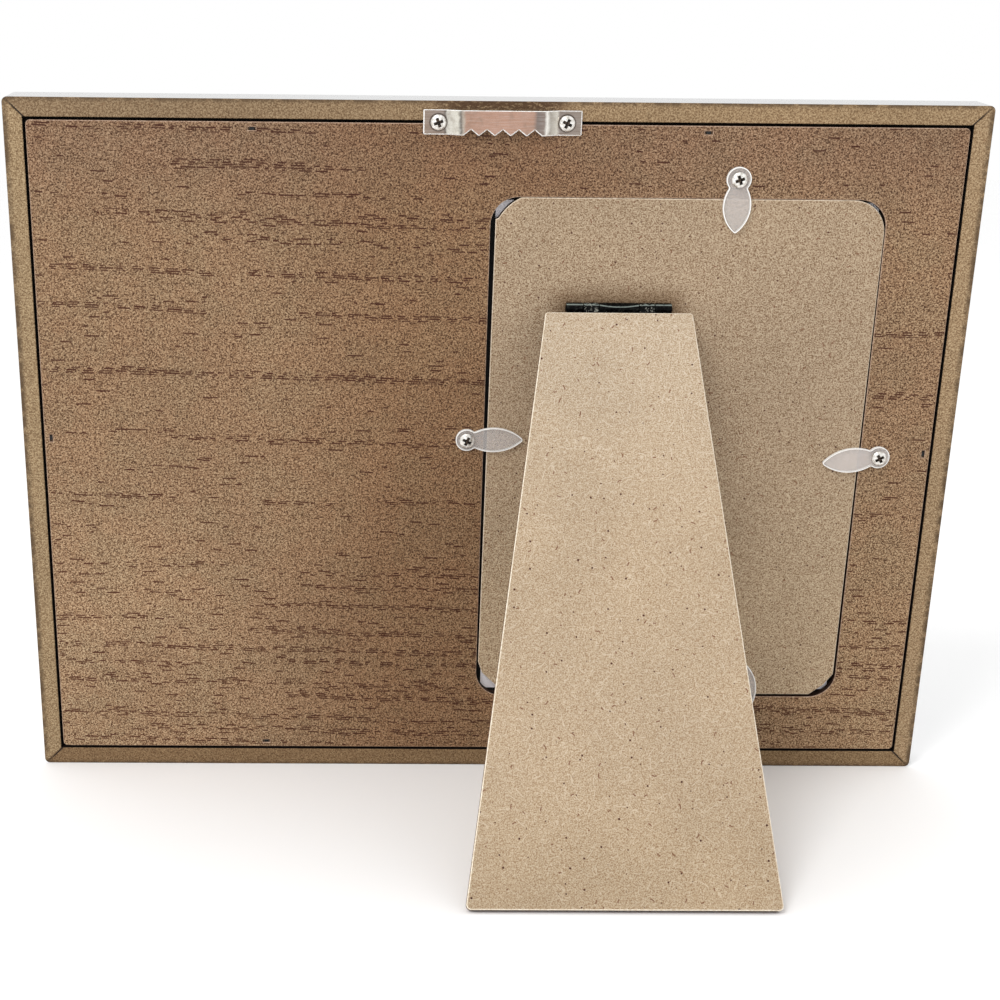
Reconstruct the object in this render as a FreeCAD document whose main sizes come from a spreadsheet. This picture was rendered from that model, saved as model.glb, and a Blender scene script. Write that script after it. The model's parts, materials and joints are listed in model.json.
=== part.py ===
import FreeCAD, Part
import math
import os
from types import SimpleNamespace

import Sketcher
from FreeCAD import Placement, Rotation, Vector

# Easel back photo frame, in millimetres.
# Every piece is drawn on the upright frame: X to the right as seen from behind, Y from the back
# face towards the front, Z up from the bottom edge. The whole frame then leans back on its leg.

os.makedirs("parts", exist_ok=True)
doc = FreeCAD.newDocument("easel_back_frame")
sheet = doc.addObject("Spreadsheet::Sheet", "Sizes")

DRIVING_SIZES = {
    # Moulding
    "frame_width": 320, "frame_height": 240, "frame_depth": 15,
    "wall_width": 6.2, "ledge_width": 5, "lip_width": 3.8,
    "corner_round": 1.8, "front_round": 1,
    # Sheets that lie in the rebates
    "board_thickness": 3, "board_gap": 1, "board_round": 1.5,
    "photo_thickness": 0.3, "photo_width": 127, "photo_height_play": 3.1,
    "photo_side": 1.8, "photo_drop": 1.4,
    "mat_thickness": 1.4, "mat_bevel": 0.9, "mat_overlap": 3,
    "glazing_thickness": 2, "sheet_play": 0.5, "stack_play": 0.1,
    # Opening in the back board and the panel that fills it
    "photo_width_play": 3.7, "opening_round": 9.3,
    "opening_side": 31.3, "opening_drop": 30.6, "opening_rise": 28.5,
    "panel_left_gap": 1.7, "panel_right_gap": 0.3, "panel_top_gap": 0.15,
    "panel_bottom_gap": 0.95, "panel_skew_left": 1.1, "panel_skew_right": 0.55,
    "panel_clip": 7, "panel_round": 11, "panel_cut_round": 17.5,
    # Leg
    "leg_top_width": 48.8, "leg_foot_width": 95.5, "leg_thickness": 3,
    "leg_top_shift": 0.6, "leg_foot_shift": 5.75, "leg_top_gap": 3.5,
    "leg_top_round": 1, "leg_foot_round": 1.5,
    # Hinge
    "hinge_side": 118.4, "hinge_drop": 67.1, "hinge_width": 35.1, "leaf_thickness": 0.9,
    "leaf_length": 21, "leaf_round": 2, "pin_radius": 1, "pin_play": 0.05, "pin_overhang": 0.3,
    "pin_chamfer": 0.2, "knuckle_play": 0.15, "seam_gap": 0.4, "stop_play": 0.06,
    "prong_width": 1.6, "prong_height": 0.9, "prong_length": 2.2,
    "prong_row_one": 8, "prong_row_two": 16.5, "prong_spread": 24, "prong_play": 0.04,
    # Turn buttons
    "button_head_radius": 3.8, "button_reach": 19.15, "button_waist_at": 2.75,
    "button_waist_width": 6.1, "button_waist_length": 1, "button_waist_round": 0.8,
    "button_belly_width": 8.6, "button_belly_at": 9.2,
    "button_tip_round": 0.8, "button_thickness": 1.2,
    "button_lift": 0.15, "button_play": 0.08,
    # Screws
    "screw_head_radius": 2.5, "screw_rim": 0.6, "screw_dome": 0.9, "screw_radius": 1,
    "screw_point": 1, "screw_seat_gap": 0.1, "screw_bite": 2.6, "hanger_screw_bite": 6.4,
    "recess_length": 2.7, "recess_width": 0.75, "recess_depth": 1, "pilot_play": 0.03,
    # Sawtooth hanger
    "hanger_length": 51.2, "hanger_height": 7.9, "hanger_thickness": 0.8, "hanger_rise": 2,
    "hanger_ear": 7.5, "hanger_ramp": 4.9, "hanger_bend": 0.7, "hanger_offset": 0.9,
    "hanger_screw_spacing": 41.5, "hanger_hole_radius": 1.3,
    "tooth_pitch": 5.13, "tooth_depth": 1.85, "tooth_tip": 0.15,
    # Brads that hold the back board
    "brad_head_width": 1.5, "brad_head_height": 0.5, "brad_shank_width": 1,
    "brad_across": 0.8, "brad_sink": 0.45, "brad_length": 7.5, "brad_edge": 2.2,
    "brad_mark_width": 2.5, "brad_mark_across": 1, "brad_play": 0.03,
    # Cuts run this far past what they cut
    "overrun": 1,
}
LEAN_ANGLE = 7.5

# Length of the leg as a share of the height of its hinge
LEG_LENGTH_SHARE = 1.11278

# Knuckles of the hinge from left to right, as shares of its width
KNUCKLE_SHARES = (0.16, 0.15, 0.38, 0.15, 0.16)
# The base leaf has every other knuckle, from the first, and the leg leaf has the rest
BASE_KNUCKLES = range(0, len(KNUCKLE_SHARES), 2)
LEG_KNUCKLES = range(1, len(KNUCKLE_SHARES), 2)
TOOTH_COUNT = 5

# Clipped corners of the panel, as shares of panel_clip: across and up or down from the corner
TOP_LEFT_CLIP_SHARES = ((1.17, 0), (0.14, 0.97), (0, 1.03))
BOTTOM_LEFT_CLIP_SHARES = ((0, 1.79), (0.21, 1.16), (1.39, 0))
BOTTOM_RIGHT_CLIP_SHARES = ((1.16, 0), (0.47, 0.53), (0, 1.17))

# Where each brad sits along its rail, as a share of the rail's length from its middle
BRAD_SHARES = {
    "bottom_rail": (-0.245, 0.212),
    "top_rail": (-0.212, 0.25),
    "left_rail": (-0.023,),
    "right_rail": (0.008,),
}

# Turn buttons: side of the opening, share along that side from its left or bottom end, the
# screw's distance from the edge, and the angle that the tip points at, from X towards Z
BUTTONS = {
    "turn_button_top": ("top", 0.617, 6.5, 270),
    "turn_button_left": ("left", 0.54, 5.83, 0.5),
    "turn_button_right": ("right", 0.511, 6.1, 187),
    "turn_button_bottom": ("bottom", 0.748, 6.3, 90),
}

# The top button is stamped wider and shorter than the rest, as shares of their sizes
WIDE_SHARES = {"turn_button_top": 1.07}
LONG_SHARES = {"turn_button_top": 0.916}

# Half the angle that the tip of a button turns through, and how each screw's cross is turned
TIP_TURN = math.radians(53)
CROSS_TURNS = (20, 65, 30, 10)

# Each rail is drawn lying along X with its outer side at Z zero, then turned about Y
RAIL_TURNS = {"bottom_rail": 0, "left_rail": 90, "top_rail": 180, "right_rail": 270}


class Size:
    """A number that also carries the sheet expression it came from."""

    def __init__(self, value, text):
        self.value = value
        self.text = text

    def __add__(self, other):
        other = as_size(other)
        return Size(self.value + other.value, f"({self.text} + {other.text})")

    def __sub__(self, other):
        other = as_size(other)
        return Size(self.value - other.value, f"({self.text} - {other.text})")

    def __mul__(self, other):
        other = as_size(other)
        return Size(self.value * other.value, f"({self.text} * {other.text})")

    def __truediv__(self, other):
        other = as_size(other)
        return Size(self.value / other.value, f"({self.text} / {other.text})")

    def __neg__(self):
        return Size(-self.value, f"(0 - {self.text})")

    __radd__ = __add__
    __rmul__ = __mul__


def as_size(number):
    if isinstance(number, Size):
        return number
    return Size(number, repr(number))


for row, (alias, number) in enumerate(DRIVING_SIZES.items(), start=1):
    sheet.set(f"A{row}", alias)
    sheet.set(f"B{row}", str(number))
    sheet.setAlias(f"B{row}", alias)
for button, (side, share, set_back, angle) in BUTTONS.items():
    row += 1
    sheet.set(f"A{row}", f"{button}_set_back")
    sheet.set(f"B{row}", str(set_back))
    sheet.setAlias(f"B{row}", f"{button}_set_back")
doc.recompute()

s = SimpleNamespace(**{alias: Size(sheet.get(alias), f"Sizes.{alias}") for alias in DRIVING_SIZES})

# Places that several pieces share
half_width = s.frame_width / 2
glazing_edge = s.wall_width + s.ledge_width
face_width = glazing_edge + s.lip_width
mat_back = s.board_thickness + s.photo_thickness
glazing_back = mat_back + s.mat_thickness
lip_back = glazing_back + s.glazing_thickness + s.stack_play
opening_width = s.photo_width + s.photo_width_play
opening_right = half_width - s.opening_side
opening_left = opening_right - opening_width
opening_top = s.frame_height - s.opening_drop
opening_bottom = s.opening_rise
opening_height = opening_top - opening_bottom
panel_right = opening_right - s.panel_right_gap
panel_left = opening_left + s.panel_left_gap
panel_top = opening_top - s.panel_top_gap
panel_bottom = opening_bottom + s.panel_bottom_gap
photo_left = opening_left + s.photo_side
photo_top = opening_top - s.photo_drop
photo_height = opening_height - s.photo_height_play
bore_radius = s.pin_radius + s.pin_play
knuckle_radius = bore_radius + s.leaf_thickness
pin_x = half_width - s.hinge_side
pin_y = -knuckle_radius
pin_z = s.frame_height - s.hinge_drop
leg_back = pin_y - knuckle_radius
leg_top = pin_z - s.leg_top_gap
leg_length = pin_z * LEG_LENGTH_SHARE
leg_foot = leg_top - leg_length
brad_inset = s.wall_width + s.board_gap + s.brad_edge
hanger_z = s.frame_height - s.wall_width - s.board_gap / 2
hanger_screws_x = (s.hanger_offset - s.hanger_screw_spacing / 2,
                   s.hanger_offset + s.hanger_screw_spacing / 2)

# How the frame stands: the foot's inner edge and the frame's back bottom edge touch the table
lean = math.radians(LEAN_ANGLE)
foot_along = (s.leg_top_gap + leg_length).value
foot_reach = math.hypot(foot_along, knuckle_radius.value)
pin_height = pin_z.value * math.cos(lean) + pin_y.value * math.sin(lean)
leg_slope = math.acos(pin_height / foot_reach) - math.atan2(knuckle_radius.value, foot_along)
open_angle = leg_slope + lean
OPEN_DEGREES = math.degrees(open_angle)

front_reach = (s.frame_depth.value * math.cos(lean)
               - s.front_round.value * (math.cos(lean) + math.sin(lean) - 1))
foot_outside = (knuckle_radius + s.leg_thickness).value
back_reach = (pin_z.value * math.sin(lean) - pin_y.value * math.cos(lean)
              + foot_along * math.sin(leg_slope) + foot_outside * math.cos(leg_slope))
shift = (back_reach - front_reach) / 2
LEANING = Placement(Vector(0, shift, 0), Rotation(Vector(1, 0, 0), LEAN_ANGLE))
PIN_POINT = Vector(pin_x.value, pin_y.value, pin_z.value)
OPENED = Placement(Vector(), Rotation(Vector(1, 0, 0), -OPEN_DEGREES), PIN_POINT)


def new_body(name):
    body = doc.addObject("PartDesign::Body", name)
    body.Label = name
    return body


def new_sketch(body, name, role, along=None):
    """Sketch on one of the body's origin planes, moved along the plane's axis of the frame."""
    sketch = body.newObject("Sketcher::SketchObject", f"{body.Name}_{name}")
    plane = next(item for item in body.Origin.OriginFeatures if item.Role == role)
    sketch.AttachmentSupport = [(plane, "")]
    sketch.MapMode = "FlatFace"
    if along is not None:
        along = as_size(along)
        normal = -along if role == "XZ_Plane" else along
        sketch.setExpression(".AttachmentOffset.Base.z", normal.text)
    return sketch


def place_point(sketch, edge, end, x, y):
    """Fix one point of the sketch at x, y, bound to the sheet."""
    for kind, axis, where in (("DistanceX", -2, as_size(x)), ("DistanceY", -1, as_size(y))):
        if where.value == 0:
            sketch.addConstraint(Sketcher.Constraint("PointOnObject", edge, end, axis))
        else:
            rule = Sketcher.Constraint(kind, -1, 1, edge, end, where.value)
            number = sketch.addConstraint(rule)
            sketch.setExpression(f"Constraints[{number}]", where.text)


def fix_radius(sketch, edge, radius):
    number = sketch.addConstraint(Sketcher.Constraint("Radius", edge, radius.value))
    sketch.setExpression(f"Constraints[{number}]", radius.text)


def short_arc(start, finish, radius, left):
    """The shorter arc between two points, with its centre on the left or the right."""
    span = finish - start
    middle = start + span / 2
    rise = math.sqrt(max(radius ** 2 - span.Length ** 2 / 4, 0))
    normal = Vector(-span.y, span.x, 0).normalize()
    centre = middle + normal * (rise if left else -rise)
    first, last = (start, finish) if left else (finish, start)
    angles = [math.atan2(point.y - centre.y, point.x - centre.x) for point in (first, last)]
    return Part.ArcOfCircle(Part.Circle(centre, Vector(0, 0, 1), radius), *angles)


def draw(sketch, corners):
    """Closed outline through corners (x, y). A corner (x, y, radius, turn) starts an arc that
    turns left or right."""
    count = len(corners)
    points = [Vector(as_size(c[0]).value, as_size(c[1]).value, 0) for c in corners]
    edges, starts, ends = [], [], []
    for index, corner in enumerate(corners):
        start, finish = points[index], points[(index + 1) % count]
        turn = corner[3] if len(corner) > 2 else None
        if turn is None:
            edges.append(sketch.addGeometry(Part.LineSegment(start, finish)))
        else:
            arc = short_arc(start, finish, corner[2].value, turn == "left")
            edges.append(sketch.addGeometry(arc))
        starts.append(2 if turn == "right" else 1)
        ends.append(1 if turn == "right" else 2)
    for index in range(count):
        after = (index + 1) % count
        sketch.addConstraint(Sketcher.Constraint("Coincident", edges[index], ends[index],
                                                 edges[after], starts[after]))
    for index, corner in enumerate(corners):
        place_point(sketch, edges[index], starts[index], corner[0], corner[1])
        if len(corner) > 2:
            fix_radius(sketch, edges[index], corner[2])


def draw_circle(sketch, x, y, radius):
    centre = Vector(as_size(x).value, as_size(y).value, 0)
    edge = sketch.addGeometry(Part.Circle(centre, Vector(0, 0, 1), radius.value))
    place_point(sketch, edge, 3, x, y)
    fix_radius(sketch, edge, radius)


def box_corners(left, bottom, right, top):
    return [(left, bottom), (right, bottom), (right, top), (left, top)]


def round_box_corners(left, bottom, right, top, radius):
    """Anticlockwise box with round corners."""
    return [
        (left + radius, bottom), (right - radius, bottom, radius, "left"),
        (right, bottom + radius), (right, top - radius, radius, "left"),
        (right - radius, top), (left + radius, top, radius, "left"),
        (left, top - radius), (left, bottom + radius, radius, "left"),
    ]


def pad(body, sketch, length, towards_front=False, centred=False):
    feature = body.newObject("PartDesign::Pad", f"{sketch.Name}_pad")
    feature.Profile = sketch
    feature.setExpression("Length", length.text)
    feature.Midplane = centred
    feature.Reversed = towards_front
    doc.recompute()
    return feature


def pocket(body, sketch, depth=None):
    """Cut through everything, or to a depth from the sketch towards the front."""
    before = body.Shape.Volume
    feature = body.newObject("PartDesign::Pocket", f"{sketch.Name}_cut")
    feature.Profile = sketch
    if depth is None:
        feature.Type = "ThroughAll"
        feature.Midplane = True
    else:
        feature.setExpression("Length", depth.text)
    doc.recompute()
    if body.Shape.Volume >= before:
        raise ValueError(f"{feature.Name} cuts nothing")
    return feature


def dress(body, kind, size, is_wanted):
    """Fillet or chamfer the edges of the body that the test picks."""
    base = body.Tip
    names = [f"Edge{n}" for n, edge in enumerate(base.Shape.Edges, start=1) if is_wanted(edge)]
    if not names:
        raise ValueError(f"{body.Name} has no edge to dress")
    feature = body.newObject(f"PartDesign::{kind}", f"{base.Name}_{kind.lower()}")
    feature.Base = (base, names)
    feature.setExpression("Radius" if kind == "Fillet" else "Size", size.text)
    doc.recompute()
    return feature


def runs_along(edge, axis):
    """True for a straight edge that lies along the axis."""
    if len(edge.Vertexes) < 2:
        return False
    span = edge.Vertexes[-1].Point - edge.Vertexes[0].Point
    return span.Length > 0 and abs(span.dot(axis)) > 0.999 * span.Length


def near(number, size):
    return math.isclose(number, as_size(size).value, abs_tol=CLOSE)


CLOSE = 1e-4
ALONG_Y = Vector(0, 1, 0)
ALONG_Z = Vector(0, 0, 1)


def plate(name, corners, back, thickness, towards_front=True):
    """Flat sheet drawn from behind, that starts at the depth back."""
    body = new_body(name)
    sketch = new_sketch(body, "outline", "XZ_Plane", along=back)
    draw(sketch, corners)
    pad(body, sketch, thickness, towards_front=towards_front)
    return body


def rail_length(rail):
    return s.frame_width if rail in ("bottom_rail", "top_rail") else s.frame_height


def on_frame(rail, along, inward):
    """X and Z on the frame of a place on a rail: along it from its middle, and inwards."""
    if rail == "bottom_rail":
        return along, as_size(inward)
    if rail == "top_rail":
        return -along, s.frame_height - inward
    if rail == "right_rail":
        return half_width - inward, s.frame_height / 2 + along
    return as_size(inward) - half_width, s.frame_height / 2 - along


def turned(rail, along=0):
    """Placement that takes a piece drawn on the lying rail to its side of the frame."""
    x, z = on_frame(rail, as_size(along), as_size(0))
    return Placement(Vector(x.value, 0, z.value), Rotation(ALONG_Y, RAIL_TURNS[rail]))


def mitre_corners(length, side):
    """What a mitre takes off one end, with the frame's rounded corner."""
    end = length / 2
    cut_back = s.corner_round * (1 - math.sqrt(0.5))
    deep = face_width + s.overrun
    turn = "left" if side > 0 else "right"
    corners = [
        (end - s.corner_round, 0, s.corner_round, turn),
        (end - cut_back, cut_back),
        (end - deep, deep),
        (end + s.overrun, deep),
        (end + s.overrun, -s.overrun),
        (end - s.corner_round, -s.overrun),
    ]
    return [(corner[0] * side, *corner[1:]) for corner in corners]


def make_rail(name):
    """Mitred moulding with a ledge for the back board and a rebate for card and glass."""
    body = new_body(name)
    length = rail_length(name)
    profile = new_sketch(body, "profile", "YZ_Plane")
    draw(profile, [
        (0, 0),
        (s.frame_depth - s.front_round, 0, s.front_round, "left"),
        (s.frame_depth, s.front_round),
        (s.frame_depth, face_width - s.front_round, s.front_round, "left"),
        (s.frame_depth - s.front_round, face_width),
        (lip_back, face_width),
        (lip_back, glazing_edge),
        (s.board_thickness, glazing_edge),
        (s.board_thickness, s.wall_width),
        (0, s.wall_width),
    ])
    pad(body, profile, length, centred=True)
    ends = new_sketch(body, "mitres", "XZ_Plane")
    draw(ends, mitre_corners(length, 1))
    draw(ends, mitre_corners(length, -1))
    pocket(body, ends)
    slots = new_sketch(body, "brad_slots", "XZ_Plane")
    for share in BRAD_SHARES[name]:
        draw(slots, brad_slot(length * share, brad_inset, s.brad_shank_width, s.brad_across))
    pocket(body, slots, s.brad_sink + s.brad_length + s.brad_play)
    if name == "top_rail":
        holes = new_sketch(body, "hanger_pilots", "XZ_Plane")
        for x in hanger_screws_x:
            draw_circle(holes, -x, s.frame_height - hanger_z, s.screw_radius + s.pilot_play)
        pocket(body, holes, s.hanger_screw_bite + s.pilot_play)
    body.Placement = turned(name)
    return body


def brad_slot(along, inward, width, across):
    half = width / 2 + s.brad_play
    high = across / 2 + s.brad_play
    return box_corners(along - half, inward - high, along + half, inward + high)


def brad_places():
    """Every brad as its rail, its place along it, and X and Z on the frame."""
    places = []
    for rail, shares in BRAD_SHARES.items():
        for share in shares:
            along = rail_length(rail) * share
            places.append((rail, along, *on_frame(rail, along, brad_inset)))
    return places


def screw_places():
    """X and Z of each turn button's screw."""
    places = {}
    for name, (side, share, set_back, angle) in BUTTONS.items():
        away = Size(set_back, f"Sizes.{name}_set_back")
        across = opening_left + opening_width * share
        up = opening_bottom + opening_height * share
        places[name] = {
            "top": (across, opening_top + away),
            "bottom": (across, opening_bottom - away),
            "left": (opening_left - away, up),
            "right": (opening_right + away, up),
        }[side]
    return places


def make_back_board():
    """Thin board with the opening for the panel, its pilot holes and its brad slots."""
    margin = s.wall_width + s.board_gap
    left = margin - half_width
    right = half_width - margin
    top = s.frame_height - margin
    body = plate("back_board", round_box_corners(left, margin, right, top, s.board_round),
                 0, s.board_thickness)
    opening = new_sketch(body, "opening", "XZ_Plane")
    draw(opening, round_box_corners(opening_left, opening_bottom, opening_right, opening_top,
                                    s.opening_round))
    pocket(body, opening)
    pilots = new_sketch(body, "button_pilots", "XZ_Plane")
    for x, z in screw_places().values():
        draw_circle(pilots, x, z, s.screw_radius + s.pilot_play)
    pocket(body, pilots, s.screw_bite + s.pilot_play)
    notches = new_sketch(body, "hanger_notches", "XZ_Plane")
    for x in hanger_screws_x:
        draw_circle(notches, x, hanger_z, s.screw_radius + s.pilot_play)
    pocket(body, notches)
    marks = new_sketch(body, "brad_marks", "XZ_Plane")
    slots = new_sketch(body, "brad_slots", "XZ_Plane")
    for rail, along, x, z in brad_places():
        lies_along_x = rail_length(rail) is s.frame_width
        mark = (s.brad_mark_width, s.brad_mark_across)
        shank = (s.brad_shank_width, s.brad_across)
        if not lies_along_x:
            mark, shank = mark[::-1], shank[::-1]
        draw(marks, brad_slot(x, z, *mark))
        draw(slots, brad_slot(x, z, *shank))
    pocket(body, marks, s.brad_sink + s.brad_head_height + s.brad_play)
    pocket(body, slots)
    return body


def prong_places(surface_z):
    """X and Z of the four prongs of a leaf that hangs below the height surface_z."""
    half = s.prong_spread / 2
    return [(pin_x + half * side, surface_z - row)
            for row in (s.prong_row_one, s.prong_row_two) for side in (-1, 1)]


def prong_corners(x, z, play):
    half = s.prong_width / 2 + play
    high = s.prong_height / 2 + play
    return box_corners(x - half, z - high, x + half, z + high)


def make_easel_panel():
    """Loose panel, cut a little out of square. It lies flush in the back board's opening."""
    clip = s.panel_clip
    bottom_left = panel_left - s.panel_skew_left
    bottom_right = panel_right - s.panel_skew_right
    corners = []
    for across, up in BOTTOM_LEFT_CLIP_SHARES:
        corners.append((bottom_left + clip * across, panel_bottom + clip * up))
    for across, up in BOTTOM_RIGHT_CLIP_SHARES:
        corners.append((bottom_right - clip * across, panel_bottom + clip * up))
    turn = s.panel_round
    corners.append((panel_right, panel_top - turn, turn, "left"))
    corners.append((panel_right - turn, panel_top))
    for across, down in TOP_LEFT_CLIP_SHARES:
        corners.append((panel_left + clip * across, panel_top - clip * down))
    corners[-3] += (s.panel_cut_round, "left")
    body = plate("easel_panel", corners, 0, s.board_thickness)
    slots = new_sketch(body, "prong_slots", "XZ_Plane")
    for x, z in prong_places(pin_z):
        draw(slots, prong_corners(x, z, s.prong_play))
    pocket(body, slots, s.prong_length + s.prong_play)
    return body


def make_photo_insert():
    corners = box_corners(photo_left, photo_top - photo_height,
                          photo_left + s.photo_width, photo_top)
    return plate("photo_insert", corners, s.board_thickness, s.photo_thickness)


def rebate_sheet(name, back, thickness):
    """Sheet that fills the deep rebate of the four rails."""
    margin = glazing_edge + s.sheet_play
    corners = box_corners(margin - half_width, margin, half_width - margin,
                          s.frame_height - margin)
    return plate(name, corners, back, thickness)


def make_mat_board():
    """Card with one bevelled window in front of the photo."""
    body = rebate_sheet("mat_board", mat_back, s.mat_thickness)
    middle_x = photo_left + s.photo_width / 2
    middle_z = photo_top - photo_height / 2
    half = s.photo_width / 2 - s.mat_overlap
    high = photo_height / 2 - s.mat_overlap
    window = new_sketch(body, "window", "XZ_Plane")
    draw(window, box_corners(middle_x - half, middle_z - high, middle_x + half, middle_z + high))
    pocket(body, window)
    reach_x = (s.photo_width / 2).value
    reach_z = (photo_height / 2).value

    def front_edge_of_window(edge):
        centre = edge.CenterOfMass
        return (near(centre.y, glazing_back)
                and abs(centre.x - middle_x.value) < reach_x
                and abs(centre.z - middle_z.value) < reach_z)

    dress(body, "Chamfer", s.mat_bevel, front_edge_of_window)
    return body


def make_leg():
    """Tapered strut, drawn folded against the panel. Its foot stands a little to one side."""
    half_top = s.leg_top_width / 2
    half_foot = s.leg_foot_width / 2
    foot_x = pin_x - s.leg_foot_shift
    top_x = pin_x - s.leg_top_shift
    corners = [(foot_x - half_foot, leg_foot), (foot_x + half_foot, leg_foot),
               (top_x + half_top, leg_top), (top_x - half_top, leg_top)]
    body = plate("leg_strut", corners, leg_back, s.leg_thickness, towards_front=False)
    dress(body, "Fillet", s.leg_foot_round,
          lambda edge: runs_along(edge, ALONG_Y) and near(edge.CenterOfMass.z, leg_foot))
    dress(body, "Fillet", s.leg_top_round,
          lambda edge: runs_along(edge, ALONG_Y) and near(edge.CenterOfMass.z, leg_top))
    slots = new_sketch(body, "prong_slots", "XZ_Plane", along=leg_back - s.prong_length - s.prong_play)
    for x, z in prong_places(pin_z):
        draw(slots, prong_corners(x, z, s.prong_play))
    pocket(body, slots, s.prong_length + s.prong_play + s.overrun)
    body.Placement = OPENED
    return body


def knuckle_ends(knuckles, play):
    """Left and right X of each of these knuckles, widened by the play."""
    ends = []
    for knuckle in knuckles:
        start = sum(KNUCKLE_SHARES[:knuckle]) - 0.5
        finish = start + KNUCKLE_SHARES[knuckle]
        ends.append((pin_x + s.hinge_width * start - play, pin_x + s.hinge_width * finish + play))
    return ends


def cut_knuckles(body, others):
    """Clear the barrel where the other leaf's knuckles turn."""
    cuts = new_sketch(body, "notches", "XZ_Plane")
    reach = knuckle_radius + s.seam_gap
    for index, (left, right) in enumerate(knuckle_ends(others, s.knuckle_play)):
        draw(cuts, box_corners(left, pin_z - reach, right, pin_z + reach))
    pocket(body, cuts)


def finish_leaf(body, surface, towards_front):
    """Round the leaf's free corners and add its prongs."""
    bottom = pin_z - s.leaf_length
    dress(body, "Fillet", s.leaf_round,
          lambda edge: runs_along(edge, ALONG_Y) and near(edge.CenterOfMass.z, bottom))
    prongs = new_sketch(body, "prongs", "XZ_Plane", along=surface)
    for x, z in prong_places(pin_z):
        draw(prongs, prong_corners(x, z, 0))
    pad(body, prongs, s.prong_length, towards_front=towards_front)


def rolled_eye(side):
    """Outline of a leaf that is rolled round the pin, in Y and Z. Side 1 lies on the panel."""
    outer, inner = knuckle_radius, bore_radius
    turn, back_turn = ("left", "right") if side > 0 else ("right", "left")
    seam = inner - s.seam_gap
    seam_low = -math.sqrt(outer.value ** 2 - seam.value ** 2)
    seam_high = -math.sqrt(inner.value ** 2 - seam.value ** 2)
    low = outer * (seam_low / outer.value)
    high = inner * (seam_high / inner.value)
    corners = [
        (inner, -s.leaf_length),
        (outer, -s.leaf_length),
        (outer, 0, outer, turn),
        (0, outer, outer, turn),
        (-outer, 0, outer, turn),
        (0, -outer, outer, turn),
        (seam, low),
        (seam, high, inner, back_turn),
        (0, -inner, inner, back_turn),
        (-inner, 0, inner, back_turn),
        (0, inner, inner, back_turn),
        (inner, 0),
    ]
    return [(pin_y + corner[0] * side, pin_z + corner[1], *corner[2:]) for corner in corners]


def make_base_leaf():
    """Leaf on the panel: flat plate whose top edge is rolled into three knuckles."""
    body = new_body("hinge_base_leaf")
    profile = new_sketch(body, "rolled_profile", "YZ_Plane", along=pin_x)
    draw(profile, rolled_eye(1))
    pad(body, profile, s.hinge_width, centred=True)
    cut_knuckles(body, LEG_KNUCKLES)
    finish_leaf(body, 0, towards_front=True)
    return body


def make_leg_leaf():
    """Leaf on the leg, drawn folded. A square heel on each knuckle meets the panel when open."""
    body = new_body("hinge_leg_leaf")
    profile = new_sketch(body, "rolled_profile", "YZ_Plane", along=pin_x)
    draw(profile, rolled_eye(-1))
    pad(body, profile, s.hinge_width, centred=True)
    heel = new_sketch(body, "heel", "YZ_Plane", along=pin_x)
    reach = (knuckle_radius * (1 - math.sin(open_angle)) - s.stop_play) / math.cos(open_angle)
    middle = (knuckle_radius + bore_radius) / 2
    draw(heel, box_corners(pin_y, pin_z + middle, pin_y + reach, pin_z + knuckle_radius))
    pad(body, heel, s.hinge_width, centred=True)
    cut_knuckles(body, BASE_KNUCKLES)
    finish_leaf(body, leg_back, towards_front=False)
    body.Placement = OPENED
    return body


def make_pin():
    body = new_body("hinge_pin")
    sketch = new_sketch(body, "section", "YZ_Plane", along=pin_x)
    draw_circle(sketch, pin_y, pin_z, s.pin_radius)
    pad(body, sketch, s.hinge_width + s.pin_overhang * 2, centred=True)
    dress(body, "Chamfer", s.pin_chamfer, lambda edge: not runs_along(edge, Vector(1, 0, 0)))
    return body


def make_turn_button(name):
    """Clear plate shaped like a leaf, drawn with its pivot at the origin and its tip along X."""
    wide = WIDE_SHARES.get(name, 1)
    long = LONG_SHARES.get(name, 1)
    head = s.button_head_radius * wide
    waist = s.button_waist_width * wide / 2
    belly = s.button_belly_width * wide / 2
    tip = s.button_reach * long - s.button_tip_round * (1 - math.cos(TIP_TURN))
    blunt = s.button_tip_round * math.sin(TIP_TURN)
    neck_in = s.button_waist_at * wide - s.button_waist_length / 2
    neck_out = s.button_waist_at * wide + s.button_waist_length / 2
    sweep = bulge_radius((neck_out, waist), (s.button_belly_at * long, belly), (tip, blunt))
    body = plate(name, [
        (neck_in, -waist, s.button_waist_round, "right"),
        (neck_out, -waist, sweep, "left"),
        (tip, -blunt, s.button_tip_round, "left"),
        (tip, blunt, sweep, "left"),
        (neck_out, waist, s.button_waist_round, "right"),
        (neck_in, waist, head, "left"),
        (0, head, head, "left"),
        (-head, 0, head, "left"),
        (0, -head, head, "left"),
    ], -s.button_lift, s.button_thickness, towards_front=False)
    hole = new_sketch(body, "hole", "XZ_Plane")
    draw_circle(hole, 0, 0, s.screw_radius + s.button_play)
    pocket(body, hole)
    x, z = screw_places()[name]
    angle = BUTTONS[name][3]
    body.Placement = Placement(Vector(x.value, 0, z.value), Rotation(-ALONG_Y, angle))
    return body


def bulge_radius(start, peak, finish):
    """Radius of the arc through three points, worked out from the named sizes."""
    a, b, c = (Vector(as_size(p[0]).value, as_size(p[1]).value, 0) for p in (start, peak, finish))
    area = abs((b - a).cross(c - a).z) / 2
    radius = (b - a).Length * (c - b).Length * (c - a).Length / (4 * area)
    chord = s.button_reach
    return chord * (radius / chord.value)


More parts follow.
